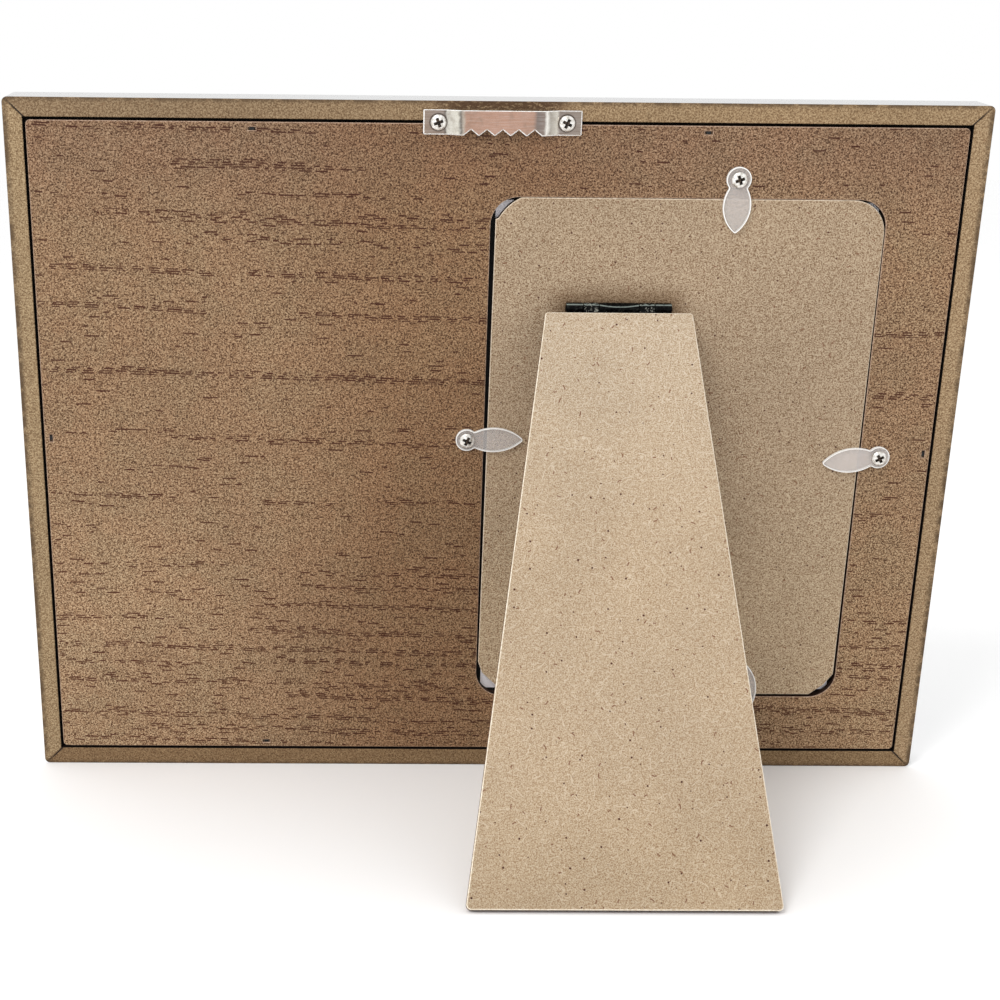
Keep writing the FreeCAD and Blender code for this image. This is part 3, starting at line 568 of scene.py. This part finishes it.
leg_face, shader, place, shade = board_face(
    "leg_face", leg, colour(176, 155, 128), colour(136, 107, 77), colour(198, 181, 158),
    grain=0.38, contrast=0.75, fibres=0.8, specks=1)
up = split(place)[1]
# Painted shade towards the foot and painted light towards the top of the leg.
shade = tinted(fade(up, 60, 0), shade, (0.92, 0.91, 0.88))
shade = tinted(fade(up, 100, 190), shade, (1.06, 1.1, 1.16))
feed(shader, Base_Color=shade)
print("board faces:", brown_face.name, panel_face.name, leg_face.name)

# %% Rubbed corner lines with a painted highlight, and scorched cuts


def plain_fibre(name, dark, light, sheet=back, size=0.8, roughness=0.7):
    """Bare fibre with a small grain."""
    return two_tone(name, size, dark, light, eased=(0.35, 0.65), rough=0.65, sheet=sheet,
                    bumps=0.2 * MM, roughness=roughness, Specular_IOR_Level=0.2)


def scorched_or_shaded(name, dark, light, sheet=back, roughness=0.85):
    return plain_fibre(name, dark, light, sheet, 0.7, roughness)


# The rubbed corner lines are paler than the boards: rubbed fibre with a painted highlight.
brown_rubbed_highlight = plain_fibre("brown_board_rubbed_corner", colour(140, 112, 92), colour(186, 160, 138))
panel_rubbed_highlight = plain_fibre("panel_rubbed_corner", colour(186, 168, 144), colour(222, 206, 186))
leg_rubbed_highlight = plain_fibre("leg_rubbed_corner", colour(212, 196, 172), colour(240, 230, 212), leg)
back_scorched = scorched_or_shaded("scorched_cut", colour(34, 22, 17), colour(64, 42, 31))
leg_scorched = scorched_or_shaded("leg_scorched_cut", colour(70, 45, 30), colour(112, 78, 54), leg)
print("edge finishes made")

# %% [markdown]
# ## Moulding
# The four rails are mitred. Their outside and front are painted white, and the paint stops at
# the back, where the bare board is olive tan, a little dirty along the outer edge, with a dark
# line at each mitre. The rebate inside, where the boards and the glass lie, is painted near black
# as shade.
# The dirt and the line follow the outline of the frame, so both are worked out from the
# distance to the outline and to the corner's diagonal.

# %% Node group: distance from the outline
outline_group, given, result = new_group(
    "outline_of_the_frame", (("Place", "Vector"), ("Width", "Float"), ("Height", "Float")),
    (("Inward", "Float"), ("Mitre", "Float")))
tree, inside = outline_group, given.outputs
right, up, _ = split(inside["Place"])
from_side = minus(work("DIVIDE", inside["Width"], 2), work("ABSOLUTE", right))
from_end = work("MINIMUM", up, minus(inside["Height"], up))
feed(result, Inward=work("MINIMUM", from_side, from_end),
     Mitre=work("ABSOLUTE", minus(from_side, from_end)))
print("outline group with", len(tree.nodes), "nodes")

# %% Bare backs
# The rails were cut from different sticks, so each has its own tone at its left and right end.
# The top rail is smeared where the hanger was fixed.
RAIL_TONES = {"top_rail": ((0.92, 0.9, 0.88), (1.2, 1.18, 1.12)),
              "bottom_rail": ((0.82, 0.74, 0.64), (0.95, 0.9, 0.8)),
              "left_rail": ((1.22, 1.24, 1.2), (1.22, 1.24, 1.2)),
              "right_rail": ((1.28, 1.28, 1.26), (1.28, 1.28, 1.26))}
rail_backs = {}
for node, (left_tone, right_tone) in RAIL_TONES.items():
    bare_back, shader, place, shade = board_face(
        node + "_bare_back", back, colour(131, 108, 81), colour(92, 70, 47),
        colour(162, 141, 112), grain=0.5, contrast=0.75, fibres=0.3, specks=0.3)
    outline = use_group(outline_group, Place=place, Width=width, Height=height)
    inward, right = outline["Inward"], split(place)[0]
    tone = blend(fade(right, -140, 150), (*left_tone, 1), (*right_tone, 1))
    shade = blend(1, shade, tone, "MULTIPLY")
    dirt = times(fade(inward, 1.8, 0.1), fade(blots(place, 3.5, detail=3), 0.35, 0.6, 0.3, 0.95))
    shade = blend(dirt, shade, colour(84, 66, 46))
    joint = times(fade(outline["Mitre"], 0.5, 0.2), fade(inward, 0, 4, 0.4, 1))
    shade = blend(joint, shade, colour(34, 24, 18))
    if node == "top_rail":
        smear = times(near_to(right, 0, 14, 12), fade(inward, 3.4, 2))
        streaks = blots(place, 0.9, detail=2, stretch=(0.5, 1, 1))
        smear = times(smear, fade(streaks, 0.62, 0.5, 0.1, 0.85))
        shade = blend(smear, shade, colour(72, 48, 28))
    feed(shader, Base_Color=shade)
    rail_backs[node] = bare_back
print("bare backs:", ", ".join(rail_backs))

# %% White paint and the rebate's painted shade
white_paint = two_tone("white_paint", 2.5, grey(190), grey(204), stretch=(0.15, 1, 1),
                       gloss=(0.36, 0.5), bumps=0.04 * MM, Specular_IOR_Level=0.4)
# Painted shade: the rebate is near black, so the gap round the back board reads dark.
rebate_shade = scorched_or_shaded("scorched_rebate", colour(12, 9, 7), colour(30, 21, 16), roughness=0.9)
print("rail finishes:", white_paint.name, rebate_shade.name)

# %% [markdown]
# ## Cut boards and rails
# The model's boards have knife-sharp corners. A real saw cut is slightly rubbed, and that thin
# line of light is what makes a board look like board. So each board and rail is copied from the
# model, its loose triangles are joined and cleaned, its sharp corners get a small bevel, and the
# faces are sorted into face, bevel and cut by the way that they point. On the boards the bevel is
# painted pale: partly the rubbed fibre, partly a painted highlight.

# %% Helpers that dress a copy of a model piece
CLOSE_POINTS = 0.001 * MM
SAME_DEPTH = 0.01
FACING, SLANTING = 0.98, 0.25
NEARLY_FLAT = math.radians(0.5)


def clean_copy(node):
    """The node's shape as one joined mesh with large flat faces."""
    shape = bmesh.new()
    shape.from_mesh(frame["nodes"][node].data)
    bmesh.ops.remove_doubles(shape, verts=shape.verts, dist=CLOSE_POINTS)
    bmesh.ops.dissolve_limit(shape, angle_limit=NEARLY_FLAT, verts=shape.verts,
                             edges=shape.edges, delimit={"NORMAL"})
    return shape


def sharp_edges(shape, least_angle, keep=lambda edge: True):
    return [edge for edge in shape.edges if edge.is_manifold
            and edge.calc_face_angle(0) > least_angle and keep(edge)]


def bevel(shape, edges, width, steps=1, clamp=False):
    bmesh.ops.bevel(shape, geom=edges, offset=width, offset_type="OFFSET", segments=steps,
                    profile=0.6, affect="EDGES", clamp_overlap=clamp)


def finish_piece(shape, name, materials, pick, body, slot, *nodes):
    """Turn a shape into a piece that stands for its nodes. pick chooses each face's material."""
    for face in shape.faces:
        face.material_index = pick(face)
        face.smooth = False
    mesh = bpy.data.meshes.new(name)
    shape.to_mesh(mesh)
    shape.free()
    for material in materials:
        mesh.materials.append(material)
    piece = add_object(name, mesh)
    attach(piece, body)
    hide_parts(*nodes)
    print(name, "has", len(mesh.polygons), "faces")


def touches_depth(sheet, depth):
    """Picks the edges that lie on a plane this many millimetres out of the sheet."""
    def keep(edge):
        spots = sheet.measure([corner.co for corner in edge.verts])
        return abs(spots[:, 2] - depth).max() < SAME_DEPTH
    return keep


def by_direction(sheet):
    """0 for a face of the sheet, 1 for its bevels, 2 for its cut edges."""
    def pick(face):
        lean = abs(face.normal.dot(sheet.outward))
        if lean > FACING:
            return 0
        return 1 if lean > SLANTING else 2
    return pick


# %% Back board, panel and leg
RUBBED, LEG_RUBBED, RAIL_RUBBED = 0.25 * MM, 0.35 * MM, 0.2 * MM
SHARP = math.radians(30)
shape = clean_copy("back_board")
bevel(shape, sharp_edges(shape, SHARP, touches_depth(back, 0)), RUBBED)
finish_piece(shape, "brown_board", (brown_face, brown_rubbed_highlight, back_scorched), by_direction(back),
             "frame", "brown_hardboard", "back_board")

shape = clean_copy("easel_panel")
panel_out = back.measure(corners_of("easel_panel"))[:, 2].max()
bevel(shape, sharp_edges(shape, SHARP, touches_depth(back, panel_out)), RUBBED)
finish_piece(shape, "lift_out_panel", (panel_face, panel_rubbed_highlight, back_scorched),
             by_direction(back), "frame", "tan_board", "easel_panel")

shape = clean_copy("leg_strut")
bevel(shape, sharp_edges(shape, SHARP, touches_depth(leg, 0)), LEG_RUBBED)
finish_piece(shape, "easel_leg", (leg_face, leg_rubbed_highlight, leg_scorched), by_direction(leg),
             "leg", "leg_board", "leg_strut")

# %% Rails
# The first is a depth in millimetres, the rest say how squarely a face points.
ABOVE_LEDGE = -1
FACES_BACK, FACES_IN, NOT_FRONT = 0.6, 0.5, -0.3
glass_front = back.measure(corners_of("glazing"))[:, 2].min()


def bare_or_painted(face):
    """0 on a rail's bare back, 2 on its ledge and in its rebate, and 1 where it is white."""
    out = face.normal.dot(back.outward)
    right, up, depth = back.measure([face.calc_center_median()])[0]
    if out > FACES_BACK:
        return 0 if depth > ABOVE_LEDGE else 2
    inward = max(face.normal.x * np.sign(-right),
                 face.normal.dot(back.up) * np.sign(height / 2 - up))
    return 2 if inward > FACES_IN and out > NOT_FRONT and depth > glass_front else 1


for node, bare_back in rail_backs.items():
    shape = clean_copy(node)
    bevel(shape, sharp_edges(shape, SHARP, touches_depth(back, 0)), RAIL_RUBBED)
    finish_piece(shape, "moulding_" + node, (bare_back, white_paint, rebate_shade),
                 bare_or_painted, "frame", "painted_board", node)

# %% [markdown]
# ## Turn buttons
# A turn button is a flat leaf of clear plastic, stamped from sheet, that swings over the panel
# to hold it. Looked through it is milky grey. Its stamped rim gets a painted highlight, a bright
# line, with a painted dark line just inside it. The rim is made in the mesh: the flat faces get a
# narrow border, and a number on the points outside it tells the material where the rim is. The
# leaf is partly see-through, which is quicker to render than true refraction and shows the dark
# gap under it as the photo does.

# %% Turn buttons
BUTTON_ROUNDING, RIM_WIDTH = 0.12 * MM, 0.42 * MM
clear_leaf, tree, shader = new_material("clear_leaf", IOR=1.49)
place = place_on(tree, back)
milk = blots(place, 3, detail=3)
rim = put(tree, "ShaderNodeAttribute", attribute_name="rim").outputs["Fac"]
shade = blend(milk, colour(219, 212, 208), colour(229, 224, 220))
# Painted light: the buttons at the far right are paler.
painted_light_far_right = fade(split(place)[0], 90, 110)
shade = tinted(painted_light_far_right, shade, (1.2, 1.2, 1.21))
# Painted shade just inside the rim, then a painted highlight on the rim itself.
shade = blend(fade(rim, 0.02, 0.2), shade, colour(150, 138, 130))
shade = blend(fade(rim, 0.3, 0.6), shade, colour(246, 245, 242))
feed(shader, Base_Color=shade, Alpha=fade(rim, 0.1, 0.6, 0.3, 0.9),
     Roughness=fade(milk, 0.3, 0.7, 0.16, 0.32))
rough_up(shader, milk, 0.03 * MM)

for side in ("top", "left", "right", "bottom"):
    node = "turn_button_" + side
    shape = clean_copy(node)
    bevel(shape, sharp_edges(shape, SHARP), BUTTON_ROUNDING, 2, clamp=True)
    outside = [face for face in shape.faces if abs(face.normal.dot(back.outward)) > FACING]
    bmesh.ops.inset_region(shape, faces=outside, thickness=RIM_WIDTH, use_even_offset=True,
                           use_boundary=True)
    rim_layer = shape.verts.layers.float.new("rim")
    inner = {corner for face in outside for corner in face.verts}
    for corner in shape.verts:
        corner[rim_layer] = 0 if corner in inner else 1
    finish_piece(shape, "clear_button_" + side, (clear_leaf,), lambda face: 0,
                 "button_" + side, "clear_plastic", node)

# %% [markdown]
# ## Cross screws
# Six pan head screws hold the four buttons and the hanger. They are all the same but for their
# length and the turn of their cross, so one Geometry Nodes tree makes the head, cuts the cross
# and puts a copy on every point. The points, one for each screw, are read off the model, and
# carry two numbers: how far the cross is turned and how deep the screw bites.

# %% Screw finishes
nickel = two_tone("dull_nickel", 0.9, colour(200, 195, 186), colour(252, 250, 246),
                  eased=(0.35, 0.65), detail=4, gloss=(0.3, 0.5), bumps=0.03 * MM, Metallic=1.0)
# The cross recess is painted near black: painted shade inside the cross.
dark_recess = two_tone("dark_recess", 0.5, colour(14, 10, 8), colour(110, 92, 76),
                       eased=(0.4, 0.7), roughness=0.5, Metallic=0.6)
print("screw finishes:", nickel.name, dark_recess.name)

# %% Geometry Nodes tree for the screws
# A face is in the cross if it lies within this share of the head's radius, and either stands
# this upright or lies deeper than this share of the cross.
CROSS_REACH, UPRIGHT, CROSS_FLOOR = 0.8, 0.2, 0.9
# The shank is one unit long, and its tip comes to a point just past its end.
TIP_END, TIP_LENGTH = 1.02, 0.3
DOME_CURVE = 0.96


def screw_tree():
    """Puts a pan head screw on every point and turns them all to stand out of the back."""
    tree = bpy.data.node_groups.new("cross_screws", "GeometryNodeTree")
    tree.interface.new_socket("Points", in_out="INPUT", socket_type="NodeSocketGeometry")
    for title in ("Head radius", "Rim height", "Dome height", "Cross length", "Cross width",
                  "Cross depth", "Shank radius", "Lean"):
        tree.interface.new_socket(title, in_out="INPUT", socket_type="NodeSocketFloat")
    tree.interface.new_socket("Home", in_out="INPUT", socket_type="NodeSocketVector")
    tree.interface.new_socket("Screws", in_out="OUTPUT", socket_type="NodeSocketGeometry")
    size = put(tree, "NodeGroupInput").outputs
    done = put(tree, "NodeGroupOutput")

    def combine(x=0.0, y=0.0, z=0.0):
        return put(tree, "ShaderNodeCombineXYZ", {0: x, 1: y, 2: z}).outputs[0]

    rim_top = size["Rim height"]
    half_rim = times(rim_top, 0.5)
    head = put(tree, "GeometryNodeMeshCylinder",
               {"Vertices": 48, "Side Segments": 1, "Fill Segments": 8,
                "Radius": size["Head radius"], "Depth": rim_top}, fill_type="NGON")
    head = put(tree, "GeometryNodeTransform", {"Geometry": head.outputs["Mesh"],
                                               "Translation": combine(z=half_rim)})
    right, up, out = split(put(tree, "GeometryNodeInputPosition").outputs[0])
    away = work("SQRT", plus(work("POWER", right, 2), work("POWER", up, 2)))
    share = work("DIVIDE", away, size["Head radius"])
    steep = times(work("POWER", share, 2), DOME_CURVE)
    round_off = work("SQRT", work("SUBTRACT", 1, steep, clamp=True))
    on_top = work("GREATER_THAN", out, half_rim)
    rise = times(times(round_off, size["Dome height"]), on_top)
    domed = put(tree, "GeometryNodeSetPosition", {"Geometry": head.outputs[0],
                                                  "Offset": combine(z=rise)})

    top = plus(rim_top, size["Dome height"])
    cut = put(tree, "GeometryNodeMeshBoolean", {"Mesh 1": domed.outputs[0]},
              operation="DIFFERENCE", solver="EXACT")
    for long_way, short_way in (("Cross length", "Cross width"), ("Cross width", "Cross length")):
        bar = put(tree, "GeometryNodeMeshCube", {"Size": combine(
            size[long_way], size[short_way], times(size["Cross depth"], 2))})
        bar = put(tree, "GeometryNodeTransform", {"Geometry": bar.outputs["Mesh"],
                                                  "Translation": combine(z=top)})
        tree.links.new(bar.outputs[0], cut.inputs["Mesh 2"])
    pointing = split(put(tree, "GeometryNodeInputNormal").outputs[0])
    upright = work("LESS_THAN", work("ABSOLUTE", pointing[2]), UPRIGHT)
    near = work("LESS_THAN", share, CROSS_REACH)
    low = work("LESS_THAN", out, minus(top, times(size["Cross depth"], CROSS_FLOOR)))
    in_cross = times(near, work("MAXIMUM", upright, times(low, on_top)))
    marked = put(tree, "GeometryNodeStoreNamedAttribute", {
        "Geometry": cut.outputs["Mesh"], "Name": "recess", "Value": in_cross},
        data_type="FLOAT", domain="FACE")

    shank = put(tree, "GeometryNodeMeshCylinder",
                {"Vertices": 16, "Side Segments": 8, "Radius": size["Shank radius"], "Depth": 1})
    shank = put(tree, "GeometryNodeTransform", {"Geometry": shank.outputs["Mesh"],
                                                "Translation": (0, 0, -0.5)})
    thin = work("DIVIDE", plus(out, TIP_END), TIP_LENGTH, clamp=True)
    pointed = combine(times(right, thin), times(up, thin), out)
    shank = put(tree, "GeometryNodeSetPosition", {"Geometry": shank.outputs[0],
                                                  "Position": pointed})

    def carried(name):
        return put(tree, "GeometryNodeInputNamedAttribute", {"Name": name},
                   data_type="FLOAT").outputs[0]

    both = put(tree, "GeometryNodeJoinGeometry")
    for part, scale in ((shank, combine(1.0, 1.0, carried("bite"))), (marked, (1, 1, 1))):
        spread = put(tree, "GeometryNodeInstanceOnPoints", {
            "Points": size["Points"], "Instance": part.outputs[0],
            "Rotation": combine(z=carried("turn")), "Scale": scale})
        tree.links.new(spread.outputs[0], both.inputs[0])
    stood = put(tree, "GeometryNodeTransform", {
        "Geometry": both.outputs[0], "Translation": size["Home"],
        "Rotation": combine(size["Lean"])})
    solid = put(tree, "GeometryNodeRealizeInstances", {"Geometry": stood.outputs[0]})
    plated = put(tree, "GeometryNodeSetMaterial", {"Geometry": solid.outputs[0],
                                                   "Material": nickel})
    recessed = put(tree, "GeometryNodeSetMaterial", {
        "Geometry": plated.outputs[0], "Material": dark_recess,
        "Selection": work("GREATER_THAN", carried("recess"), 0.5)})
    tree.links.new(recessed.outputs[0], done.inputs[0])
    return tree


cross_screws = screw_tree()
print("screw tree with", len(cross_screws.nodes), "nodes")

# %% Read the screws off the model and make them
RIM_HEIGHT, DOME_HEIGHT = 0.6 * MM, 0.9 * MM
SCREW_SIZES = {"Head radius": 2.5 * MM, "Rim height": RIM_HEIGHT, "Dome height": DOME_HEIGHT,
               "Cross length": 3.1 * MM, "Cross width": 1 * MM, "Cross depth": 1 * MM,
               "Shank radius": 1 * MM}


def islands(node):
    """The corners of each separate solid in a node, in millimetres on the frame's back."""
    shape = clean_copy(node)
    left = set(shape.verts)
    found = []
    while left:
        group, waiting = [], [left.pop()]
        while waiting:
            corner = waiting.pop()
            group.append(corner.co.copy())
            for edge in corner.link_edges:
                other = edge.other_vert(corner)
                if other in left:
                    left.remove(other)
                    waiting.append(other)
        found.append(back.measure(group))
    shape.free()
    return found


def middle_of(spots):
    return (spots.min(axis=0) + spots.max(axis=0)) / 2


def make_screws(name, node, turns):
    """Screws at the places of the node's solids, as one plain mesh."""
    solids = sorted(islands(node), key=lambda spots: spots[:, 0].mean())
    seats = [spots[:, 2].max() * MM - RIM_HEIGHT - DOME_HEIGHT for spots in solids]
    points = bpy.data.meshes.new(name + "_points")
    points.from_pydata([(*(middle_of(spots)[:2] * MM), seat)
                        for spots, seat in zip(solids, seats)], [], [])
    bites = [seat - spots[:, 2].min() * MM for seat, spots in zip(seats, solids)]
    for title, values in (("turn", [math.radians(turn) for turn in turns]), ("bite", bites)):
        points.attributes.new(title, "FLOAT", "POINT").data.foreach_set("value", values)
    maker = add_object(name + "_maker", points)
    modifier = maker.modifiers.new("screws", "NODES")
    modifier.node_group = cross_screws
    named = {item.name: item.identifier for item in cross_screws.interface.items_tree
             if item.in_out == "INPUT"}
    for title, value in SCREW_SIZES.items():
        modifier[named[title]] = value
    modifier[named["Lean"]] = back.turn
    modifier[named["Home"]] = tuple(back.up * back.level + back.outward * back.face)
    ready = maker.evaluated_get(bpy.context.evaluated_depsgraph_get())
    mesh = bpy.data.meshes.new_from_object(ready)
    maker.modifiers.clear()
    bpy.data.objects.remove(maker)
    mesh.name = name
    piece = add_object(name, mesh)
    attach(piece, "frame")
    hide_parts(node)
    print(name, "has", len(solids), "screws and", len(mesh.polygons), "faces")


make_screws("button_cross_screws", "button_screws", (65, 20, 10, 30))
make_screws("hanger_cross_screws", "hanger_screws", (20, 65))

# %% [markdown]
# ## Sawtooth hanger
# The hanger is a strip of bright plated steel with a raised bridge and five notches. Bent bright
# steel never looks even, and here that is painted in as light and shade: its ears lie flat and
# dull, the two ramps carry a painted reflection that is nearly white, each bend has a dark band
# of painted reflection, and the bridge has a warm painted reflection. That is a row of bands
# along the strip, so a colour ramp over its length holds them. A painted shadow lies as a dark
# ring round each screw head. The strip is a copy of the model's, and its edges are broken and
# painted nearly white as a highlight.

# %% Plating and painted reflections along the strip
# Each band is millimetres to the right of the frame's middle line, and its colour there.
PLATE_AND_REFLECTION_BANDS = ((-24.7, (138, 120, 106)), (-18.4, (132, 118, 108)), (-17.6, (92, 84, 76)),
               (-17, (192, 188, 178)), (-13.6, (200, 196, 184)), (-12.6, (96, 90, 84)),
               (-11.8, (176, 164, 150)), (-11, (164, 130, 112)), (1, (172, 136, 118)),
               (10.6, (166, 132, 114)), (12, (116, 104, 98)), (14, (130, 116, 108)),
               (15, (236, 232, 224)), (16.2, (164, 158, 148)), (18.4, (200, 194, 182)),
               (19.2, (126, 114, 106)), (26.5, (138, 126, 116)))
SHADOW_RING_OUTSIDE_HEAD = 0.15
bright_plate, tree, shader = new_material("bright_plate", Metallic=1.0)
place = place_on(tree, back)
right, up, _ = split(place)
cloudy = blots(place, 2.2, detail=3)
waver = times(minus(cloudy, 0.5), 1.4)
first, last = PLATE_AND_REFLECTION_BANDS[0][0], PLATE_AND_REFLECTION_BANDS[-1][0]
along = fade(plus(right, waver), first, last)
along.node.interpolation_type = "LINEAR"
# The ramp holds the plate's tone with painted reflections and dark painted bands.
bands = put(tree, "ShaderNodeValToRGB", {0: along})
marks = bands.color_ramp.elements
while len(marks) < len(PLATE_AND_REFLECTION_BANDS):
    marks.new(0.5)
for mark, (level, tint) in zip(marks, PLATE_AND_REFLECTION_BANDS):
    mark.position = (level - first) / (last - first)
    mark.color = colour(*tint)
rolled = blots(place, 0.35, detail=3, stretch=(0.06, 1, 1))
shade = blend(fade(rolled, 0.35, 0.75, 0, 0.12), bands.outputs[0], grey(250))
shade = blend(fade(cloudy, 0.5, 0.75, 0, 0.35), shade, colour(132, 118, 106))
flat_place = put(tree, "ShaderNodeCombineXYZ", {0: right, 1: up}).outputs[0]
for spots in islands("hanger_screws"):
    away = put(tree, "ShaderNodeVectorMath", {0: flat_place, 1: (*middle_of(spots)[:2], 0)},
               operation="DISTANCE").outputs["Value"]
    # Painted shadow: a dark ring round each screw head.
    ring = near_to(away, SCREW_SIZES["Head radius"] / MM + SHADOW_RING_OUTSIDE_HEAD, 0.1, 0.4, 0.75)
    shade = blend(ring, shade, colour(62, 52, 46))
feed(shader, Base_Color=shade, Roughness=fade(cloudy, 0.3, 0.7, 0.22, 0.4))
rough_up(shader, rolled, 0.03 * MM)

# The sheared edges are painted nearly white: a painted highlight on the steel.
sheared_edge = two_tone("sheared_edge", 0.6, colour(226, 220, 210), grey(252),
                        eased=(0.3, 0.6), roughness=0.35, Metallic=0.2)
print("bands along the hanger:", len(PLATE_AND_REFLECTION_BANDS))

# %% Hanger
TOP_BROKEN, CUT_BROKEN = 0.16 * MM, 0.36 * MM
TOP_ANGLE, CUT_ANGLE = math.radians(40), math.radians(70)
TOP_BAND, FLAT_ENOUGH = 0.5, 0.85
shape = clean_copy("sawtooth_hanger")
hanger_top = back.measure(corners_of("sawtooth_hanger"))[:, 1].max()


def along_the_top(edge):
    level = back.measure([corner.co for corner in edge.verts])[:, 1].mean()
    return level > hanger_top - TOP_BAND


bevel(shape, sharp_edges(shape, TOP_ANGLE, along_the_top), TOP_BROKEN)
bevel(shape, sharp_edges(shape, CUT_ANGLE, lambda edge: not along_the_top(edge)), CUT_BROKEN)


def flat_or_edge(face):
    """0 on the strip's flats and bends, 1 on its sheared edges."""
    return 0 if abs(face.normal.dot(back.outward)) > FLAT_ENOUGH else 1


finish_piece(shape, "plated_hanger", (bright_plate, sheared_edge), flat_or_edge, "frame",
             "bright_plate", "sawtooth_hanger")

# %% [markdown]
# ## Hinge, brads and the sheets in the front
# These keep the model's own shapes, which are right as they are, and only get finishes. The
# hinge is rolled from steel and dipped in black lacquer, so it is glossy with dull, bumpy
# patches. The brads are dull steel, sunk in their slots. In the front lie clear glass, a dark
# card with a pale bevelled window, and a sheet of photo paper with its back to us.

# %% Finishes for the pieces that keep their model shape


def repaint(material, *nodes):
    for node in nodes:
        mesh = frame["nodes"][node].data
        mesh.materials.clear()
        mesh.materials.append(material)
    print(material.name, "on", ", ".join(nodes))


barrel_top = back.measure(corners_of("hinge_base_leaf"))[:, 1].max()
barrel_out = back.measure(corners_of("hinge_pin"))[:, 2].mean()
HIGHLIGHT_BELOW_TOP = 0.42


def black_lacquer(name, crinkle, painted_glint_amount):
    """Black lacquer with a painted highlight line on top of the barrel, and painted glints on its
    crinkles.
    """
    material, tree, shader = new_material(name, Specular_IOR_Level=0.06)
    place = place_on(tree, back)
    right, up, out = split(place)
    lumps = blots(place, 1.1, detail=3, rough=0.6)
    under_top = plus(minus(barrel_top, up), times(lumps, crinkle))
    under_top = minus(under_top, near_to(right, hinge_right, 1, 8, 0.6))
    # Painted highlight: a thin light line along the top of the barrel.
    painted_highlight_line = times(near_to(under_top, HIGHLIGHT_BELOW_TOP + crinkle / 2, 0.08, 0.16),
                 fade(out, barrel_out, barrel_out + 0.3))
    painted_highlight_line = times(painted_highlight_line, fade(lumps, 0.3, 0.5, 0.5, 0.95))
    shade = blend(fade(lumps, 0.45, 0.8), grey(5), colour(24, 27, 25))
    shade = blend(painted_highlight_line, shade, colour(122, 130, 124))
    # Painted glints on the crinkles.
    painted_glints = times(curled_lines(place, 1.6, 0.05, 40), painted_glint_amount)
    shade = blend(painted_glints, shade, colour(150, 150, 140))
    feed(shader, Base_Color=shade, Roughness=fade(lumps, 0.35, 0.7, 0.15, 0.4))
    rough_up(shader, lumps, 0.2 * MM)
    return material


repaint(black_lacquer("smooth_black_lacquer", crinkle=0.1, painted_glint_amount=0.05), "hinge_base_leaf",
        "hinge_pin")
repaint(black_lacquer("crinkled_black_lacquer", crinkle=0.9, painted_glint_amount=0.7), "hinge_leg_leaf")

repaint(two_tone("dull_steel", 0.4, grey(16), grey(70), roughness=0.45, Metallic=1.0),
        "fixing_brads")
repaint(two_tone("bare_photo_paper", 0.6, colour(226, 222, 226), colour(244, 240, 243),
                 bumps=0.02 * MM, roughness=0.55), "photo_insert")

mat_card, tree, shader = new_material("mat_card", roughness=0.9, Specular_IOR_Level=0.2)
place = place_on(tree, back)
felt = blots(place, 0.5, detail=4, rough=0.7)
pointing = put(tree, "ShaderNodeNewGeometry").outputs["True Normal"]
slanted = put(tree, "ShaderNodeVectorMath", {0: pointing, 1: tuple(back.outward)},
              operation="DOT_PRODUCT").outputs["Value"]
bevelled = near_to(slanted, -0.7, 0.15, 0.001)
shade = blend(felt, grey(22), grey(40))
shade = blend(bevelled, shade, colour(236, 230, 216))
feed(shader, Base_Color=shade)
rough_up(shader, felt, 0.1 * MM)
repaint(mat_card, "mat_board")

repaint(two_tone("clear_glass", 25, colour(248, 252, 250), colour(254, 255, 254), detail=2,
                 gloss=(0.01, 0.05), IOR=1.5, Transmission_Weight=1.0), "glazing")
